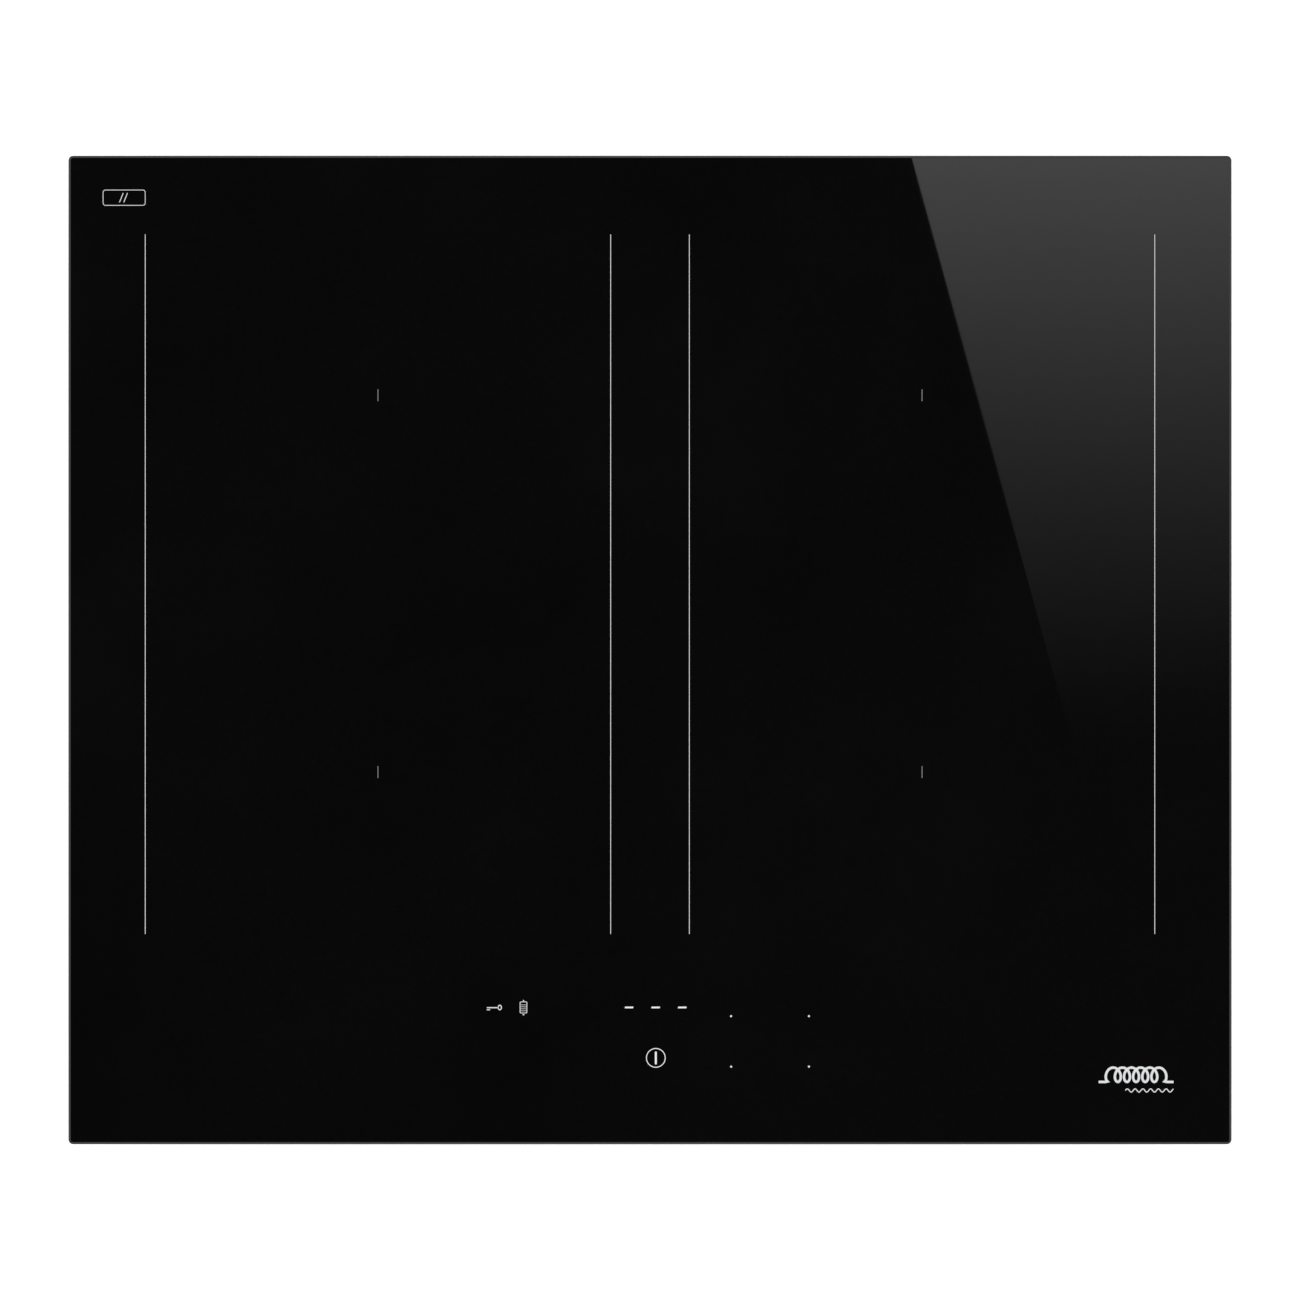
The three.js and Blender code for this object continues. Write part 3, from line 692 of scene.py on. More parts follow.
class COOKTOP_OT_stage(bpy.types.Operator):
    """Set up the camera, the pale floor and the soft studio light."""

    bl_idname = "cooktop.stage"
    bl_label = "Stage"

    def execute(self, context):
        stage = context.scene.cooktop_stage
        self.add_camera(context, stage)
        self.add_floor(stage)
        self.add_lights(stage)
        self.add_window(stage)
        return {"FINISHED"}

    def add_camera(self, context, stage):
        """A camera straight above the glass, which looks down."""
        data = bpy.data.cameras.new("camera")
        data.lens = stage.lens
        data.sensor_width = 36
        data.clip_end = 50
        camera = bpy.data.objects.new("camera", data)
        context.scene.collection.objects.link(camera)
        camera.location = (0, 0, GLASS_TOP * MM + stage.camera_height)
        context.scene.camera = camera

    def add_floor(self, stage):
        """A pale floor lit a little from within, which can't be seen from below."""
        clear_selection()
        bpy.ops.mesh.primitive_plane_add(size=FLOOR_SIDE, location=(0, 0, -FLOOR_DROP))
        floor = settled("floor")
        material, tree = new_material("floor")
        shader = tree.nodes["Principled BSDF"]
        shader.inputs["Base Color"].default_value = (*stage.floor, 1)
        shader.inputs["Roughness"].default_value = 0.7
        shader.inputs["Emission Color"].default_value = (1, 1, 1, 1)
        shader.inputs["Emission Strength"].default_value = stage.glow
        below = add_node(tree, "NewGeometry", {}, "Backfacing")
        clear = add_node(tree, "BsdfTransparent", {})
        choice = add_node(tree, "MixShader", {"Fac": below, 1: shader.outputs[0], 2: clear})
        tree.links.new(choice, tree.nodes["Material Output"].inputs["Surface"])
        floor.data.materials.append(material)

    def add_lights(self, stage):
        """Four wide soft lights, even light all round and a white backdrop; colours stay as they are."""
        bpy.context.scene.view_settings.view_transform = "Standard"
        for name, place in LAMP_PLACES.items():
            data = bpy.data.lights.new("soft_light_" + name, "AREA")
            data.shape = "SQUARE"
            data.size = LAMP_SIDE
            data.energy = stage.key
            lamp = bpy.data.objects.new("soft_light_" + name, data)
            bpy.context.scene.collection.objects.link(lamp)
            lamp.location = place
            lamp.rotation_euler = (-Vector(place)).to_track_quat("-Z", "Y").to_euler()
        world = bpy.data.worlds.new("even_light")
        world.use_nodes = True
        tree = world.node_tree
        back = tree.nodes["Background"]
        back.inputs["Color"].default_value = (1, 1, 1, 1)
        seen = add_node(tree, "LightPath", {}, "Is Camera Ray")
        tree.links.new(spread(tree, seen, 0, 1, stage.sky, 1.0), back.inputs["Strength"])
        bpy.context.scene.world = world

    def add_card(self, name, corners, material):
        """A flat card that only mirror-like surfaces see."""
        mesh = bpy.data.meshes.new(name)
        mesh.from_pydata(corners, [], [range(len(corners))])
        card = bpy.data.objects.new(name, mesh)
        bpy.context.scene.collection.objects.link(card)
        mesh.materials.append(material)
        card.visible_camera = card.visible_diffuse = card.visible_shadow = False
        card.visible_transmission = card.visible_volume_scatter = False

    def add_window(self, stage):
        """A dark screen straight above, and under it the slanted edge of a bright window."""
        level = GLASS_TOP * MM + WINDOW_HEIGHT
        reach = (1 + WINDOW_HEIGHT / stage.camera_height) * MM
        dark, tree = new_material("dark_screen")
        shader = tree.nodes["Principled BSDF"].inputs
        shader["Base Color"].default_value = (0, 0, 0, 1)
        shader["Specular IOR Level"].default_value = 0
        square = [(x * SCREEN_REACH, y * SCREEN_REACH, level + SCREEN_GAP)
                  for x, y in ((-1, -1), (-1, 1), (1, 1), (1, -1))]
        self.add_card("dark_screen", square, dark)
        bright, tree = new_material("window_light")
        tree.nodes.remove(tree.nodes["Principled BSDF"])
        depth = axes(tree, object_place(tree))["Y"]
        share = spread(tree, depth, WINDOW_DIM * reach, WINDOW_FULL * reach)
        light = times(tree, math_node(tree, "POWER", share, WINDOW_FALLOFF), stage.sheen)
        glow = add_node(tree, "Emission", {"Strength": light})
        tree.links.new(glow, tree.nodes["Material Output"].inputs["Surface"])
        image = [(x * reach, y * reach, level) for x, y in WINDOW_IMAGE]
        self.add_card("window_card", image, bright)


# ---- glass and its marks ----
class COOKTOP_OT_glass(bpy.types.Operator):
    """Model the glass panel with round corners and a polished edge."""

    bl_idname = "cooktop.glass"
    bl_label = "Glass panel"

    def execute(self, context):
        panel = block("glass_panel_polished", GLASS_LOW, GLASS_HIGH)
        soften(panel, sizes().corner / MM, 6, upright)
        soften(panel, sizes().edge / MM, 5, self.rim(GLASS_HIGH.z))
        soften(panel, 0.5, 3, self.rim(GLASS_LOW.z))
        wear(smooth(panel, 40), "glass", stands_for="glass_panel")
        return {"FINISHED"}

    def rim(self, level):
        def test(edge):
            flat = all(abs(v.co.z - level * MM) < 1e-5 for v in edge.verts)
            return flat and is_corner(edge)
        return test


def bar_mark(name, x0, x1, y0, y1, rounding=0.0):
    """A printed bar on the glass, in millimetres."""
    top = GLASS_TOP + sizes().ink / MM
    mark = block(name, (x0, y0, GLASS_TOP), (x1, y1, top))
    if rounding:
        soften(mark, rounding, 3, upright)
    return mark


def slanted(mark, level, shift):
    """Moves a mark's points behind a level to the right, in millimetres."""
    pick(mark, "VERT", lambda v: v.co.y > level * MM)
    bpy.ops.transform.translate(value=(shift * MM, 0, 0))
    leave()
    return mark


def band(obj, width, height):
    """Makes a flat disc or plate a ring of one width, and gives it a height, in millimetres."""
    pick(obj, "FACE", lambda face: True)
    bpy.ops.mesh.inset(thickness=width * MM)
    bpy.ops.mesh.delete(type="FACE")
    bpy.ops.mesh.select_all(action="SELECT")
    bpy.ops.mesh.extrude_region_move(TRANSFORM_OT_translate={"value": (0, 0, height * MM)})
    bpy.ops.mesh.select_all(action="SELECT")
    bpy.ops.mesh.normals_make_consistent(inside=False)
    leave()
    return obj


def ring_mark(name, x, y, width, height, stroke):
    """A printed oval ring; width and height are its outer sizes."""
    clear_selection()
    bpy.ops.mesh.primitive_circle_add(
        vertices=64, radius=0.5 * MM, fill_type="NGON", location=Vector((x, y, GLASS_TOP)) * MM)
    bpy.ops.transform.resize(value=(width, height, 1))
    return band(settled(name), stroke, sizes().ink / MM)


def box_mark(name, x, y, width, height, stroke, rounding):
    """A printed rectangle with round corners, drawn as an outline."""
    clear_selection()
    bpy.ops.mesh.primitive_plane_add(size=MM, location=Vector((x, y, GLASS_TOP)) * MM)
    bpy.ops.transform.resize(value=(width, height, 1))
    bpy.ops.object.transform_apply(location=True, rotation=True, scale=True)
    bpy.ops.object.mode_set(mode="EDIT")
    bpy.ops.mesh.select_all(action="SELECT")
    bpy.ops.mesh.bevel(offset=rounding * MM, segments=5, affect="VERTICES")
    leave()
    return band(settled(name), stroke, sizes().ink / MM)


# Where the marks are printed, in millimetres.
ZONE_LINES = (("inner", 20.27), ("outer", 260.13))
ZONE_FRONT, ZONE_BACK = -146.4, 214.2
COIL_MARK_X = 140.2
COIL_MARK_ROWS = (("rear", 131.3), ("front", -62.9))
TOUCH_ROW = -184.2


class COOKTOP_OT_zone_marks(bpy.types.Operator):
    """Print the long zone lines and the short centre marks."""

    bl_idname = "cooktop.zone_marks"
    bl_label = "Zone lines"

    def execute(self, context):
        half = sizes().line / MM / 2
        for side, sign in SIDES:
            for place, x in ZONE_LINES:
                x *= sign
                name = f"zone_line_{side}_{place}"
                wear(bar_mark(name, x - half, x + half, ZONE_FRONT, ZONE_BACK, 0.15), "mark")
            x = sign * COIL_MARK_X
            for row, y in COIL_MARK_ROWS:
                name = f"centre_mark_{row}_{side}"
                wear(bar_mark(name, x - 0.18, x + 0.18, y - 3.05, y + 3.05, 0.08), "faint")
        return {"FINISHED"}


class COOKTOP_OT_control_marks(bpy.types.Operator):
    """Print the touch symbols: key, griddle, three bars, on/off and four dots."""

    bl_idname = "cooktop.control_marks"
    bl_label = "Touch symbols"

    def execute(self, context):
        self.add_key()
        self.add_griddle()
        for i, x in enumerate((-10.8, 2.9, 16.6)):
            bar = bar_mark(f"level_bar_{i + 1}", x - 2.2, x + 2.1, -184.65, -183.77)
            wear(slanted(bar, TOUCH_ROW, 0.15), "lit")
        ring = ring_mark("on_off_ring", 3.0, -210.2, 10.1, 10.1, 0.42)
        stem = bar_mark("on_off_bar", 2.5, 3.5, -213.6, -206.9, 0.45)
        wear(joined("on_off_symbol", [ring, stem]), "lit")
        ink = sizes().ink / MM
        corners = [(x, y) for y in (-188.7, -214.7) for x in (41.8, 81.9)]
        for i, (x, y) in enumerate(corners):
            wear(drum(f"range_dot_{i + 1}", (x, y, GLASS_TOP + ink / 2), 0.53, ink, 24), "mark")
        return {"FINISHED"}

    def add_key(self):
        """A key lying on its side: shaft, tooth and an oval bow."""
        shaft = bar_mark("shaft", -84.1, -78.2, -184.6, -184.05, 0.1)
        tooth = bar_mark("tooth", -84.1, -82.4, -185.65, -185.17, 0.1)
        bow = ring_mark("bow", -77.4, -184.25, 2.15, 2.85, 0.48)
        wear(joined("key_symbol", [shaft, tooth, bow]), "mark")

    def add_griddle(self):
        """A griddle seen from above: its rim, four ribs and a lug at each end."""
        x, y = -65.2, TOUCH_ROW
        parts = [box_mark("pan", x, y, 3.85, 6.1, 0.36, 0.7)]
        for i in range(4):
            rib = y - 0.2 + (i - 1.5) * 1.03
            parts.append(bar_mark("rib", x - 1.7, x + 1.7, rib - 0.11, rib + 0.11))
        parts.append(bar_mark("lug", x - 0.3, x + 0.3, y + 2.95, y + 3.8, 0.2))
        parts.append(bar_mark("lug", x - 0.5, x + 0.5, y - 3.95, y - 3.5, 0.2))
        wear(joined("griddle_symbol", parts), "mark")


class COOKTOP_OT_emblems(bpy.types.Operator):
    """Print two generic pictures: a coil at the front right, a glass sheet at the back left."""

    bl_idname = "cooktop.emblems"
    bl_label = "Plain emblems"

    def execute(self, context):
        self.add_coil()
        self.add_sheet()
        return {"FINISHED"}

    def flat_wire(self, name, points, radius):
        """A tube pressed flat onto the glass."""
        wire = tube(name, points, radius, 2)
        wire.data.transform(Matrix.Translation((0, 0, GLASS_TOP * MM)) @ Matrix.Diagonal(
            (1, 1, sizes().ink / (radius * MM), 1)))
        return wire

    def add_coil(self):
        """A row of loops with a lead at each end, over a short wave."""
        x0, x1, y, loops, pitch = 231.2, 269.8, -219.4, 6, 4.7
        start = (x0 + x1 - loops * pitch) / 2
        points = [(x0, y - 3.2, 0), (start - 1.8, y - 3.2, 0)]
        for i in range(loops * 24 + 1):
            angle = 2 * math.pi * i / 24
            across = start + pitch * i / 24 - 2.6 * math.sin(angle)
            points.append((across, y + 0.5 - 3.7 * math.cos(angle), 0))
        points += [(start + loops * pitch + 1.8, y - 3.2, 0), (x1, y - 3.2, 0)]
        wave = [(245 + 0.25 * i, -227 + 0.85 * math.sin(math.radians(22.5) * i), 0) for i in range(100)]
        coil = self.flat_wire("coil", points, 0.66)
        wear(joined("coil_emblem", [coil, self.flat_wire("wave", wave, 0.26)]), "mark")

    def add_sheet(self):
        """A pane with slanted gleams."""
        x, y = -271.0, 233.1
        parts = [box_mark("pane", x, y, 22.0, 8.2, 0.3, 1.4)]
        for shift in (-2.4, -0.2):
            gleam = bar_mark("gleam", x + shift - 0.2, x + shift + 0.2, y - 2.4, y + 2.4)
            parts.append(slanted(gleam, y, 1.9))
        wear(joined("glass_emblem", parts), "mark")


# ---- body under the glass ----
class COOKTOP_OT_seal(bpy.types.Operator):
    """Finish the foam seal, the silicone bond and the support frame."""

    bl_idname = "cooktop.seal"
    bl_label = "Seal and frame"

    def execute(self, context):
        refit("edge_seal", "foam", "foam", 0.5, 3)
        refit("glass_bond", "bead", "silicone", 0.35)
        refit("support_frame", "steel", "sheet", 0.2)
        return {"FINISHED"}


def crossed_bars(x, y, reach, thin, low, high):
    """Two bars that cross over a point, to cut a recess with."""
    return [block("bar", (x - a, y - b, low), (x + a, y + b, high))
            for a, b in ((reach, thin), (thin, reach))]


def pan_screw(name, radius=3.2, height=1.9):
    """A pan-head screw with a cross recess, standing on the origin and facing up."""
    head = drum(name, (0, 0, height / 2), radius, height, 28, radius * 0.94)
    soften(head, height * 0.42, 3, lambda e: is_corner(e) and all(
        v.co.z > height * 0.9 * MM for v in e.verts))
    depth = height * 0.6
    for bar in crossed_bars(0, 0, radius * 0.55, radius * 0.13, height - depth, height + 1):
        carve(head, [bar])
    return smooth(head)


# What tells the tray's bends from its slots, in millimetres: a bend along a wall is longer than
# any slot's edge, an upright bend is taller than its lip, and slots stand inside the step.
BEND_LONG, BEND_TALL = 65, 12
STEP_X, SLOTS_WITHIN = 222, 230


class COOKTOP_OT_tray(bpy.types.Operator):
    """Finish the steel tray: bent edges, pressed beads and the screws round its wall."""

    bl_idname = "cooktop.tray"
    bl_label = "Bottom tray"

    def execute(self, context):
        tray = refined("bottom_tray", "bottom_tray_steel", 1.0, 3, self.is_bend)
        self.press_beads(tray)
        self.close_corners(tray)
        wear(smooth(tray), "sheet", stands_for="bottom_tray")
        self.add_screws()
        return {"FINISHED"}

    def is_bend(self, edge):
        """The long outer bends of the sheet, and not its rim or the sides of its slots."""
        a, b = (v.co for v in edge.verts)
        size = (a - b).length
        low = max(a.z, b.z) < (TRAY_HIGH.z - 1) * MM
        long = size > BEND_LONG * MM or (upright(edge) and size > BEND_TALL * MM)
        outside = edge.is_convex and is_corner(edge, 60)
        near_step = abs(abs(a.x) - STEP_X * MM) <= MM
        slot = upright(edge) and not near_step and abs(a.x) < SLOTS_WITHIN * MM
        return low and long and outside and not slot

    def close_corners(self, tray):
        """Closes the pinhole that rounding leaves where three bends meet."""
        pick(tray, "VERT", lambda v: True)
        bpy.ops.mesh.fill_holes(sides=4)
        leave()

    def press_beads(self, tray):
        """Shallow stiffening grooves in the floor, as seen from below."""
        beads = []
        for x in (-190, -28, 28, 190):
            for y0, y1 in ((-205, -90), (-60, 45)):
                bead = block("bead", (x - 5, y0, -1), (x + 5, y1, 0.55))
                soften(bead, 4.9, 5, upright)
                soften(bead, 0.5, 2, lambda e: is_corner(e) and all(
                    v.co.z > 0.5 * MM for v in e.verts))
                beads.append(bead)
        carve(tray, beads)

    def add_screws(self):
        """Pan-head screws through the tray's four walls into the frame."""
        head = pan_screw("tray_screw")
        x, y, level = TRAY_HIGH.x, TRAY_HIGH.y, 39
        places = [(px, -y, level, "X", 90) for px in (-240, -90, 90, 240)]
        places += [(px, y, level, "X", -90) for px in (-240, -60, 60, 240)]
        for wall, turn in ((-x, -90), (x, 90)):
            places += [(wall, py, level, "Y", turn) for py in (-190, 0, 190)]
        for i, (*place, axis, turn) in enumerate(places):
            wear(twin(head, f"tray_screw_{i + 1}", place, turn, axis), "zinc")
        discard(head)


class COOKTOP_OT_terminal_box(bpy.types.Operator):
    """Finish the terminal box, its hinged cover and the pin they share."""

    bl_idname = "cooktop.terminal_box"
    bl_label = "Terminal box"

    def execute(self, context):
        refit("terminal_box", "moulding", "black", 0.35)
        cover = refined("terminal_cover", "terminal_cover_moulding", 0.3)
        self.add_grip(cover)
        wear(smooth(cover), "black", "cover", "terminal_cover")
        refit("terminal_hinge_pin", "steel", "pin", 0.15)
        return {"FINISHED"}

    def add_grip(self, cover):
        """Fine grooves across the cover's outer face, near the edge that is pulled."""
        low, high = span_of("terminal_cover")
        middle = (low.x + high.x) / 2
        grooves = []
        for i in range(6):
            y = high.y - 6 - 3.2 * i
            groove = block("groove", (middle - 24, y - 0.8, low.z - 1),
                           (middle + 24, y + 0.8, low.z + 0.6))
            grooves.append(soften(groove, 0.75, 3, upright))
        for x in (low.x + 14, high.x - 14):
            panel = block("recess", (x - 8, low.y + 18, low.z - 1),
                          (x + 8, high.y - 10, low.z + 0.4))
            grooves.append(soften(panel, 2.5, 4, upright))
        carve(cover, grooves)


class COOKTOP_OT_terminals(bpy.types.Operator):
    """Finish the terminal block with its screws, and the bar that grips the cable."""

    bl_idname = "cooktop.terminals"
    bl_label = "Terminals"

    def execute(self, context):
        refit("terminal_block", "moulding", "white", 0.3)
        low, _ = span_of("terminal_block")
        screw = self.slotted_screw()
        for i in range(5):
            x, y = low.x + 9 + 16 * i, low.y + 8
            wear(twin(screw, f"terminal_screw_{i + 1}", (x, y, low.z + 2.9), 180, "X"), "brass")
            wear(self.socket(f"terminal_socket_{i + 1}", x, y), "brass")
        discard(screw)
        refit("cable_clamp", "bar", "grey", 0.35)
        middle = centre_of("cable_clamp")
        for i, x in enumerate((middle.x - 14, middle.x + 14)):
            shank = drum(f"grip_screw_{i + 1}", (x, middle.y, 5.4), 1.4, 3.6, 20)
            soften(shank, 0.3)
            slot = block("slot", (x - 1.6, middle.y - 0.25, 3), (x + 1.6, middle.y + 0.25, 4.3))
            wear(smooth(carve(shank, [slot])), "zinc")
        return {"FINISHED"}

    def slotted_screw(self):
        """A short grub screw, slot up, with its foot at the origin's level."""
        screw = drum("terminal_screw", (0, 0, 1.2), 2.2, 2.4, 24)
        soften(screw, 0.3)
        return smooth(carve(screw, [block("slot", (-2.5, -0.3, 1.4), (2.5, 0.3, 3))]))

    def socket(self, name, x, y):
        """A brass tube, bored from its open end."""
        cage = tube(name, [(x, y - 1.5, 14), (x, y + 7.4, 14)], 1.9, 4)
        bore = drum("bore", (x, y + 5, 14), 1.45, 9, 20, turn=(90, 0, 0))
        return smooth(carve(cage, [bore]))


class COOKTOP_OT_clamps(bpy.types.Operator):
    """Finish the four worktop clamps: arm, square nut and threaded screw."""

    bl_idname = "cooktop.clamps"
    bl_label = "Worktop clamps"

    def execute(self, context):
        for quarter, _, sy in QUARTERS:
            arm = refined("clamp_arm_" + quarter, f"clamp_arm_{quarter}_strap", 0.4, 3)
            self.press_rib(arm, quarter, sy)
            wear(arm, "zinc", "arm_" + quarter, "clamp_arm_" + quarter)
            refit("clamp_nut_" + quarter, "square", "zinc", 0.35, body="nut_" + quarter)
            screw = refined("clamp_screw_" + quarter, "shank", 0.25)
            low, high = span_of("clamp_screw_" + quarter)
            x, y = (low.x + high.x) / 2, (low.y + high.y) / 2
            thread = self.thread(x, y, low.z + 4.2, high.z - 0.6)
            whole = joined(f"clamp_screw_{quarter}_threaded", [screw, thread])
            wear(smooth(whole, 30), "zinc", stands_for="clamp_screw_" + quarter)
        return {"FINISHED"}

    def press_rib(self, arm, quarter, sy):
        """A shallow groove pressed along the strap's lower face."""
        low, high = span_of("clamp_arm_" + quarter)
        x = (low.x + high.x) / 2
        y0, y1 = (low.y + 8, high.y - 22) if sy > 0 else (low.y + 22, high.y - 8)
        groove = block("groove", (x - 2, y0, low.z - 1), (x + 2, y1, low.z + 0.6))
        smooth(carve(arm, [soften(groove, 1.9, 4, upright)]))

    def thread(self, x, y, z0, z1, pitch=0.9, radius=2.26):
        turns = int((z1 - z0) / pitch * 14) / 14
        return tube("thread", spiral((x, y), (z0, z1), (radius, radius), turns, 14), 0.24, 1)


# ---- coils ----
def lay_wire(obj, points):
    """Stores how far along its wire and how far round it each point of a mesh lies."""
    knots = [Vector(p) * MM for p in points]
    run = [0.0]
    for a, b in zip(knots, knots[1:]):
        run.append(run[-1] + (b - a).length)
    tree = KDTree(len(knots))
    for i, knot in enumerate(knots):
        tree.insert(knot, i)
    tree.balance()
    lie = obj.data.attributes.new("wire_lie", "FLOAT_VECTOR", "POINT")
    for vertex, item in zip(obj.data.vertices, lie.data):
        _, i, _ = tree.find(vertex.co)
        ahead = knots[min(i + 1, len(knots) - 1)] - knots[max(i - 1, 0)]
        ahead.normalize()
        side = ahead.cross(Vector((0, 0, 1)))
        side = side.normalized() if side.length > 0.2 else ahead.cross(Vector((1, 0, 0))).normalized()
        up = side.cross(ahead)
        out = vertex.co - knots[i]
        item.vector = (run[i] + out.dot(ahead), out.dot(side) / MM, out.dot(up) / MM)
    return obj


class COOKTOP_OT_coils(bpy.types.Operator):
    """Wind the four coils and finish their formers, ferrites and sensors."""

    bl_idname = "cooktop.coils"
    bl_label = "Coils"

    def execute(self, context):
        windings = {side: self.wind(side, sign) for side, sign in SIDES}
        bar = self.ferrite_bar()
        for quarter, _, _ in QUARTERS:
            side = quarter.split("_")[1]
            middle = centre_of("coil_winding_" + quarter)
            winding = twin(windings[side], f"coil_winding_{quarter}_litz", (middle.x, middle.y, 0))
            wear(winding, "litz", stands_for="coil_winding_" + quarter)
            refit("coil_former_" + quarter, "moulding", "former", 0.25)
            sensor = refined("temperature_sensor_" + quarter, f"sensor_{quarter}_cap", 0.4)
            wear(sensor, "ceramic", stands_for="temperature_sensor_" + quarter)
            for i in range(8):
                piece = twin(bar, f"ferrite_{quarter}_{i + 1}", (middle.x, middle.y, 0), 22.5 + 45 * i)
                wear(piece, "ferrite")
        discard(bar, *windings.values())
        return {"FINISHED"}

    def ferrite_bar(self):
        return part_box("ferrite_bar", (30, -6.5, 34.8), (84, 6.5, 38.6), 0.8)

    def wind(self, side, sign):
        """One flat spiral of litz wire round a rounded rectangle, about the origin."""
        turns, radius, steps = sizes().turns, 1.85, 40
        level = 42.35 + radius
        core, first, last = 21, 2.1, 61.8
        half_wide, half_deep = 20, 5
        path = [(-16 * sign, -14, 39.6), (-16 * sign, -14, 42.6), (-18.5 * sign, -15, level - 0.2),
                (-25 * sign, -17.5, level)]
        total = turns * steps
        for i in range(total + 1):
            angle = math.radians(225) + 2 * math.pi * i / steps
            off = core + first + (last - first) * i / total
            cx = half_wide if math.cos(angle) > 0 else -half_wide
            cy = half_deep if math.sin(angle) > 0 else -half_deep
            path.append((sign * (cx + off * math.cos(angle)), cy + off * math.sin(angle), level))
        return lay_wire(tube("litz_" + side, path, radius, 2), path)


class COOKTOP_OT_plates(bpy.types.Operator):
    """Finish the aluminium coil plates, their rivets and the insulation mat."""

    bl_idname = "cooktop.plates"
    bl_label = "Coil plates"

    def execute(self, context):
        rivet = drum("rivet", (0, 0, 0.5), 2.6, 1.0, 24, 2.0)
        soften(rivet, 0.35, 2, lambda e: is_corner(e, 25))
        smooth(rivet, 40)
        for side, sign in SIDES:
            refit("coil_plate_" + side, "sheet", "aluminium", 0.2)
            _, high = span_of("coil_plate_" + side)
            spots = [(sign * x, y) for x in (14, 140, 259) for y in (-150, 34, 220)]
            for i, (x, y) in enumerate(spots):
                wear(twin(rivet, f"plate_rivet_{side}_{i + 1}", (x, y, high.z)), "aluminium")
        discard(rivet)
        refit("insulation_mat", "fibre", "insulation", 0.3)
        return {"FINISHED"}


# ---- electronics ----
def part_box(name, low, high, ease):
    """A small component's body with eased edges, in millimetres."""
    return smooth(soften(block(name, low, high), ease))


def on_side(sign, name, xs, ys, zs, ease=0.0):
    """A cuboid given for the right side, or its mirror image on the left; eased if asked."""
    left, right = xs if sign > 0 else (-xs[1], -xs[0])
    low, high = (left, ys[0], zs[0]), (right, ys[1], zs[1])
    return part_box(name, low, high, ease) if ease else block(name, low, high)


def centred(middle, half):
    return middle - half, middle + half


# The larger parts on a power board: name, x range, y range, height, finish and eased width.
BOARD_PARTS = (
    ("resonance_capacitor_a_", (68, 99), (-146, -130), 21, "film", 1.2),
    ("resonance_capacitor_b_", (116, 147), (-146, -130), 21, "film", 1.2),
    ("bus_capacitor_", (118, 150), (-122, -104), 19, "film", 1.2),
    ("relay_", (20, 49), (-122, -109), 15, "white", 0.6),
    ("supply_transformer_", (180, 202), (-92, -70), 6, "carrier", 0.5),
    ("transformer_core_", (183, 199), (-88, -74), 17, "ferrite", 0.6),
)
DRIVER_ROWS = (-84, -62, -12)
TRANSISTOR_ROWS = (-46, -22, 2, 26)


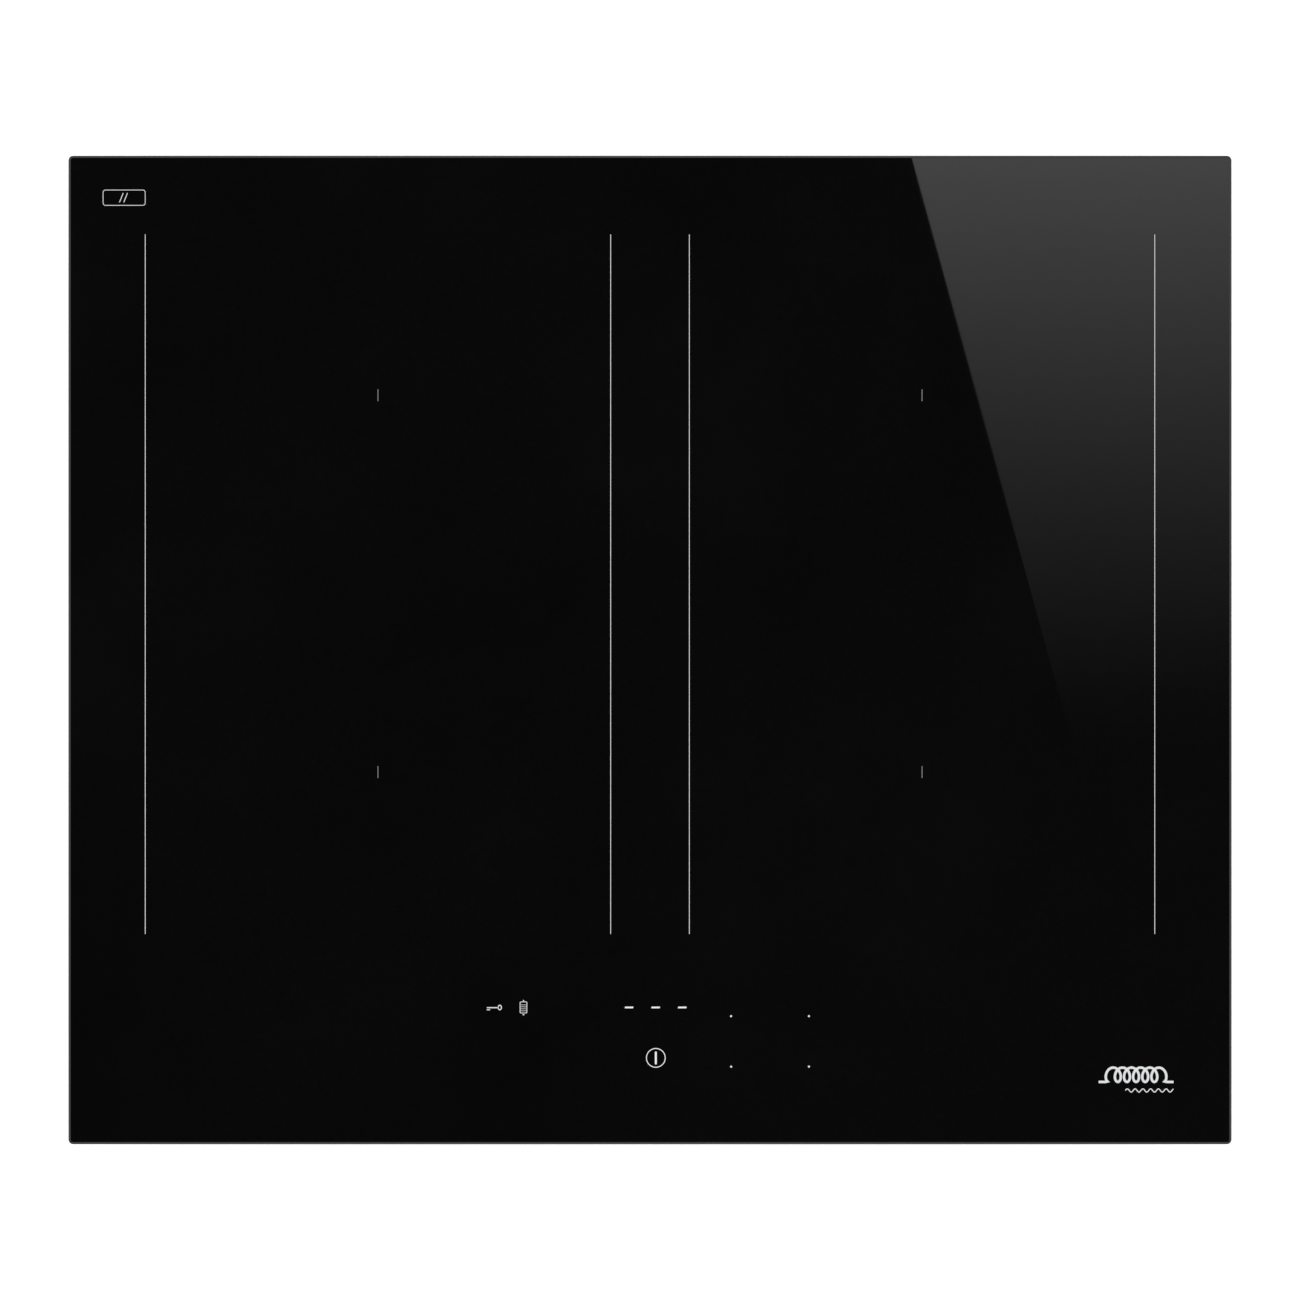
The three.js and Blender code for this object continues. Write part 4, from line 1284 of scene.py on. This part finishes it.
class COOKTOP_OT_power_boards(bpy.types.Operator):
    """Finish both power boards and fit their components."""

    bl_idname = "cooktop.power_boards"
    bl_label = "Power boards"

    def execute(self, context):
        for side, sign in SIDES:
            refit("power_board_" + side, "laminate", "board", 0.12, 1)
            low, high = span_of("power_board_" + side)
            self.top = high.z
            self.fit(side, sign)
            self.add_corner_screws(side, low, high)
        return {"FINISHED"}

    def put(self, sign, name, xs, ys, height, key, ease):
        """A component that stands just clear of the board."""
        base = self.top + 0.3
        wear(on_side(sign, name, xs, ys, (base, base + height), ease), key)

    def fit(self, side, sign):
        """Everything that stands on one power board."""
        for name, *rest in BOARD_PARTS:
            self.put(sign, name + side, *rest)
        for i, y in enumerate(DRIVER_ROWS):
            self.put(sign, f"driver_chip_{side}_{i + 1}", (32, 42), centred(y, 4), 2.2, "black", 0.3)
            self.add_pins(side, sign, i, y)
        for i, y in enumerate(TRANSISTOR_ROWS):
            self.add_transistor(side, sign, i, y)
        self.add_can(side, sign)
        self.add_tabs(side, sign)
        self.add_resistors(side, sign)
        self.add_chip_parts(side, sign)

    def add_resistors(self, side, sign):
        """Four film resistors lying in a row, each on its two bent wires."""
        bodies, wires = [], []
        for k in range(4):
            x, y, z = sign * (58 + 5.5 * k), -92, self.top + 1.9
            body = drum("body", (x, y, z), 1.2, 6.8, 20, turn=(90, 0, 0))
            bodies.append(smooth(soften(body, 0.45, 3), 50))
            reach, bend = 5.6, 0.7
            knots = [(x, y - reach, self.top), (x, y - reach, z - bend), (x, y - reach + bend, z),
                     (x, y + reach - bend, z), (x, y + reach, z - bend), (x, y + reach, self.top)]
            wires.append(tube("wire", knots, 0.32, 1))
        wear(joined("film_resistors_" + side, bodies), "ceramic")
        wear(joined("resistor_wires_" + side, wires), "solder")

    def add_chip_parts(self, side, sign):
        """Small chip resistors and capacitors beside each driver chip, with tinned ends."""
        middles, ends = [], []
        for y in DRIVER_ROWS:
            for x, dy in ((24, -4), (24, 0), (24, 4), (37, 8), (48, -3), (48, 3)):
                ys = centred(y + dy, 0.8)
                middles.append(on_side(sign, "middle", centred(x, 1.0), ys, (self.top, self.top + 0.7)))
                for end in (-1.25, 1.25):
                    xs = centred(x + end, 0.3)
                    ends.append(on_side(sign, "end", xs, ys, (self.top, self.top + 0.75)))
        for name, blocks, key in (("chip_part_bodies_", middles, "black"),
                                  ("chip_part_ends_", ends, "solder")):
            wear(smooth(soften(joined(name + side, blocks), 0.08, 1)), key)

    def add_pins(self, side, sign, index, y):
        """Two rows of six pins along a driver chip."""
        height = (self.top, self.top + 0.35)
        rows = [on_side(sign, "pin", centred(x, 0.9), centred(y - 3.3 + 1.3 * k, 0.2), height)
                for x in (31.2, 42.8) for k in range(6)]
        wear(joined(f"chip_pins_{side}_{index + 1}", rows), "solder")

    def add_transistor(self, side, sign, index, y):
        """A flat power transistor held upright against the heat sink by a spring clip."""
        _, sink = span_of("heat_sink_right")
        x, foot = sink.x + 0.3, 12.4
        tail = f"_{side}_{index + 1}"
        body = on_side(sign, "power_transistor" + tail, (x, x + 4.8), centred(y, 7.8), (foot, 30.4), 0.4)
        wear(body, "black")
        legs = [on_side(sign, "leg", (x + 2.2, x + 2.9), centred(y + dy, 0.6), (self.top, foot))
                for dy in (-5.4, 0, 5.4)]
        wear(joined("transistor_legs" + tail, legs), "solder")
        clip = on_side(sign, "transistor_clip" + tail, (x + 5.0, x + 5.6), centred(y, 3.5), (14, 31.5), 0.2)
        wear(clip, "pin")

    def add_can(self, side, sign):
        """A smoothing capacitor: a can with a scored top and a rolled groove."""
        x, y = 192 * sign, -128
        can = drum("smoothing_capacitor_" + side, (x, y, self.top + 10.3), 9, 20, 40)
        soften(can, 0.9, 3)
        inset_faces(can, lambda face: face.normal.z > 0.99, 1.2, -0.4)
        for score in crossed_bars(x, y, 5, 0.2, self.top + 19.4, self.top + 22):
            carve(can, [score])
        wear(smooth(can), "can")

    def add_tabs(self, side, sign):
        """The brass blades that the coils' leads push onto."""
        for name, x, y in (("rear", 42, 29), ("front", 104, -111)):
            blade = on_side(sign, f"lead_blade_{name}_{side}", centred(x, 3.1), centred(y, 0.4),
                            (self.top, self.top + 7), 0.25)
            wear(blade, "brass")

    def add_corner_screws(self, side, low, high):
        """A screw in each corner of a power board."""
        head = pan_screw("board_screw", 2.9, 1.6)
        spots = [(x, y) for x in (low.x + 6, high.x - 6) for y in (low.y + 6, high.y - 6)]
        for i, (x, y) in enumerate(spots):
            wear(twin(head, f"board_screw_{side}_{i + 1}", (x, y, high.z + 0.05)), "zinc")
        discard(head)


class COOKTOP_OT_heat_sinks(bpy.types.Operator):
    """Finish the finned heat sinks."""

    bl_idname = "cooktop.heat_sinks"
    bl_label = "Heat sinks"

    def execute(self, context):
        for side, _ in SIDES:
            refit("heat_sink_" + side, "extrusion", "sink", 0.3)
        return {"FINISHED"}


class COOKTOP_OT_filter(bpy.types.Operator):
    """Finish the mains filter: board, choke with its windings, capacitors, fuse and relay."""

    bl_idname = "cooktop.filter"
    bl_label = "Mains filter"

    def execute(self, context):
        refit("filter_board", "laminate", "board", 0.12, 1)
        top = span_of("filter_board")[1].z
        refit("choke", "core", "ferrite", 0, angle=60)
        middle = centre_of("choke")
        for i, start in enumerate((20, 200)):
            path = self.helix(middle, start, 140, 15)
            wear(lay_wire(tube(f"choke_winding_{i + 1}", path, 0.65, 2), path), "litz")
        for i, y in enumerate((180, 202)):
            cap = part_box(f"line_capacitor_{i + 1}", (-42, y, top + 0.3), (-12, y + 14, top + 17), 1.0)
            wear(cap, "grey")
        fuse_level = top + 3.6
        for name, centre, radius, long, points, turn, ease, bends, key in (
                ("surge_disc", (2, 182, top + 7.5), 6.5, 4, 36, (90, 0, 0), 1.2, 3, "film"),
                ("fuse", (4, 222, fuse_level), 2.6, 20, 28, (0, 90, 0), 0.5, 2, "ceramic"),
                ("fuse_cap_1", (-5.2, 222, fuse_level), 2.9, 4.4, 28, (0, 90, 0), 0.4, 2, "solder"),
                ("fuse_cap_2", (13.2, 222, fuse_level), 2.9, 4.4, 28, (0, 90, 0), 0.4, 2, "solder")):
            piece = drum(name, centre, radius, long, points, turn=turn)
            wear(smooth(soften(piece, ease, bends), 40), key)
        wear(part_box("mains_relay", (62, 180, top + 0.3), (77, 209, top + 16), 0.7), "carrier")
        return {"FINISHED"}

    def helix(self, middle, start, sweep, loops):
        """A wire wound round part of a ring whose section is a tall oval."""
        points = []
        for i in range(loops * 16 + 1):
            along = math.radians(start + sweep * i / (loops * 16))
            around = 2 * math.pi * i / 16
            out = 11 + 6.3 * math.cos(around)
            points.append((middle.x + out * math.cos(along), middle.y + out * math.sin(along),
                           middle.z + 9.1 * math.sin(around)))
        return points


def annulus(name, outer, inner, low, high, points=72):
    """A flat ring about the Z axis, in millimetres."""
    clear_selection()
    bpy.ops.mesh.primitive_circle_add(
        vertices=points, radius=outer * MM, fill_type="NGON", location=(0, 0, low * MM))
    return band(settled(name), outer - inner, high - low)


# Where a blower's blades start and how long they are, in millimetres.
BLADE_ROOT, BLADE_LONG = 31, 6.4


class COOKTOP_OT_blowers(bpy.types.Operator):
    """Finish the blowers: housing, curved-blade wheel, shaft and bearing."""

    bl_idname = "cooktop.blowers"
    bl_label = "Blowers"

    def execute(self, context):
        wheel = self.wheel()
        for side, _ in SIDES:
            body = "fan_" + side
            refit("fan_housing_" + side, "moulding", "black", 0.3)
            middle = centre_of("fan_shaft_" + side)
            rotor = twin(wheel, f"fan_rotor_{side}_wheel", (middle.x, middle.y, 0))
            wear(rotor, "carrier", body, "fan_rotor_" + side)
            refit("fan_shaft_" + side, "steel", "pin", 0.2, body=body)
            refit("fan_bearing_" + side, "sleeve", "bronze", 0.2)
        discard(wheel)
        return {"FINISHED"}

    def wheel(self):
        """A cup and a back plate that carry forward-curved blades down to an end ring."""
        rim, cup, bore = 37.9, 14, 12.1
        plate = annulus("plate", rim, bore, 23, 24.5)
        end = annulus("end", rim, BLADE_ROOT, 6.1, 7.4)
        wall = annulus("wall", cup, bore, 8.4, 23.6, 48)
        floor = drum("floor", (0, 0, 9), cup, 2, 48)
        wheel = plate
        for parts in ([end, self.blades()], [wall], [floor]):
            wheel = carve(wheel, parts, "UNION")
        wheel.name = wheel.data.name = "blower_wheel"
        return smooth(wheel)

    def blades(self):
        """One curved blade, copied round the wheel."""
        blade = block("blade", (BLADE_ROOT, -0.4, 7), (BLADE_ROOT + BLADE_LONG, 0.4, 23.4))
        pick(blade, "EDGE", lambda e: abs(e.verts[0].co.x - e.verts[1].co.x) > MM)
        bpy.ops.mesh.subdivide(number_cuts=5)
        leave()
        for vertex in blade.data.vertices:
            share = (vertex.co.x / MM - BLADE_ROOT) / BLADE_LONG
            vertex.co.y += (2.6 * share * share - 0.6 * share) * MM
        count = sizes().blades
        ring = [twin(blade, "blade", turn=360 * i / count) for i in range(count)]
        discard(blade)
        return joined("blades", ring)


class COOKTOP_OT_controls(bpy.types.Operator):
    """Finish the touch control: board, carrier, light box, springs and the flat cable."""

    bl_idname = "cooktop.controls"
    bl_label = "Touch control"

    def execute(self, context):
        refit("control_board", "laminate", "board", 0.12, 1)
        refit("control_carrier", "tub", "carrier", 0.35)
        self.add_light_box()
        top = span_of("control_board")[1].z
        self.add_springs(top)
        self.add_chips(top)
        refit("ribbon_cable", "flat", "ribbon", 0.15, 1, angle=50)
        for name, low, high in (("ribbon_socket", (-62, -144.6, 8.7), (-38, -138.5, 13.5)),
                                ("ribbon_plug", (-61, -181.5, top + 0.1), (-39, -174.6, top + 3.4))):
            wear(part_box(name, low, high, 0.4), "white")
        return {"FINISHED"}

    def add_light_box(self):
        """The white box round the lamps, with a window under each lit symbol."""
        box = refined("display_module", "display_light_box", 0.3)
        _, high = span_of("display_module")
        windows = [block("window", (x - 3.4, -186.6, high.z - 3), (x + 3.4, -182, high.z + 1))
                   for x in (-10.5, 3.0, 16.9)]
        for window in windows:
            soften(window, 0.6, 2, upright)
        windows.append(drum("window", (3.2, -210.5, high.z - 1), 6.2, 4, 40))
        windows.append(block("window", (44, -212, high.z - 3), (80, -191.5, high.z + 1)))
        carve(box, windows)
        wear(smooth(box), "white", stands_for="display_module")

    def add_springs(self, top):
        """Coil springs that carry the touch fields up to the glass."""
        for name, x, y in (("lock", -80.4, -184.3), ("griddle", -64.7, -184.3)):
            coil = spiral((x, y), (top + 0.5, top + 4.7), (3.6, 2.8), 7, 16)
            wear(tube("touch_spring_" + name, coil, 0.3, 2), "pin")

    def add_chips(self, top):
        """Three chips on the touch board, each with a row of seven pins along two sides."""
        chips = (("controller", -40, -208, 6, 6, 1.6), ("touch_reader", -80, -208, 4, 4, 1.2),
                 ("memory", -60, -212, 3, 2.4, 1.4))
        for name, x, y, w, d, h in chips:
            chip = part_box(name + "_chip", (x - w, y - d, top + 0.1), (x + w, y + d, top + 0.1 + h), 0.2)
            wear(chip, "black")
            pins = []
            for k in range(7):
                step = -0.8 * w + 1.6 * w * k / 6
                for sign in (-1, 1):
                    y0, y1 = sorted((y + sign * (d - 0.2), y + sign * (d + 0.9)))
                    pins.append(block("pin", (x + step - 0.2, y0, top), (x + step + 0.2, y1, top + 0.4)))
            wear(joined(name + "_pins", pins), "solder")


class COOKTOP_OT_leads(bpy.types.Operator):
    """Sleeve the coils' leads and the mains lead along their routes."""

    bl_idname = "cooktop.leads"
    bl_label = "Leads"

    def execute(self, context):
        for quarter, sx, sy in QUARTERS:
            route = bowed(self.coil_route(quarter, sx, sy))
            sleeve = tube(f"coil_lead_{quarter}_sleeve", route, 1.45, 4)
            wear(lay_wire(sleeve, route), "sleeve", stands_for="coil_lead_" + quarter)
        route = bowed([(-105, 188, 14), (-105, 188, 24), (-103, 188, 29), (-96, 189, 30.2),
                       (-87, 190, 29.6), (-80, 192, 24), (-76, 195, 15), (-74, 197, 10)])
        lead = tube("mains_lead_jacket", route, 2.2, 4)
        wear(lead, "jacket", stands_for="mains_lead")
        return {"FINISHED"}

    def coil_route(self, quarter, sx, sy):
        """The way from a coil's inner turn down through the plate to its board."""
        middle = centre_of("coil_winding_" + quarter)
        x, y = middle.x - 16 * sx, middle.y - 14
        if sy > 0:
            return [(x, y, 38.5), (x, y - 1, 33.9), (sx * 110, y - 6, 31), (sx * 78, 92, 30.9),
                    (sx * 56, 68, 27), (sx * 46, 46, 16), (sx * 42, 34, 10.4)]
        return [(x, y, 38.5), (x - sx * 0.5, y - 1, 33.9), (sx * 118, y - 13, 24),
                (sx * 110, y - 24, 14), (sx * 104, y - 29, 10.6)]


# ---- panel and registration ----
STEPS = (
    COOKTOP_OT_stage, COOKTOP_OT_glass, COOKTOP_OT_zone_marks, COOKTOP_OT_control_marks,
    COOKTOP_OT_emblems, COOKTOP_OT_seal, COOKTOP_OT_tray, COOKTOP_OT_terminal_box,
    COOKTOP_OT_terminals, COOKTOP_OT_clamps, COOKTOP_OT_coils, COOKTOP_OT_plates,
    COOKTOP_OT_power_boards, COOKTOP_OT_heat_sinks, COOKTOP_OT_filter, COOKTOP_OT_blowers,
    COOKTOP_OT_controls, COOKTOP_OT_leads,
)


class COOKTOP_PT_panel(bpy.types.Panel):
    """Lists the cooktop's settings and the steps that build it."""

    bl_idname = "COOKTOP_PT_panel"
    bl_label = "Induction cooktop"
    bl_space_type = "VIEW_3D"
    bl_region_type = "UI"
    bl_category = "Cooktop"

    def draw(self, context):
        layout = self.layout
        scene = context.scene
        for title, group in (("Colours", scene.cooktop_colours), ("Sizes", scene.cooktop_sizes),
                             ("Stage", scene.cooktop_stage)):
            column = layout.box().column()
            column.label(text=title)
            for name in group.bl_rna.properties.keys():
                if name not in ("rna_type", "name"):
                    column.prop(group, name)
        for step in STEPS:
            layout.operator(step.bl_idname)


CLASSES = (CooktopColours, CooktopSizes, CooktopStage, *STEPS, COOKTOP_PT_panel)


def register():
    for item in CLASSES:
        bpy.utils.register_class(item)
    bpy.types.Scene.cooktop_colours = bpy.props.PointerProperty(type=CooktopColours)
    bpy.types.Scene.cooktop_sizes = bpy.props.PointerProperty(type=CooktopSizes)
    bpy.types.Scene.cooktop_stage = bpy.props.PointerProperty(type=CooktopStage)


def unregister():
    del bpy.types.Scene.cooktop_stage
    del bpy.types.Scene.cooktop_sizes
    del bpy.types.Scene.cooktop_colours
    for item in reversed(CLASSES):
        bpy.utils.unregister_class(item)


def main():
    register()
    for step in STEPS:
        family, action = step.bl_idname.split(".")
        result = getattr(getattr(bpy.ops, family), action)()
        if result != {"FINISHED"}:
            raise RuntimeError(step.bl_idname + " did not finish")


if __name__ == "__main__":
    main()
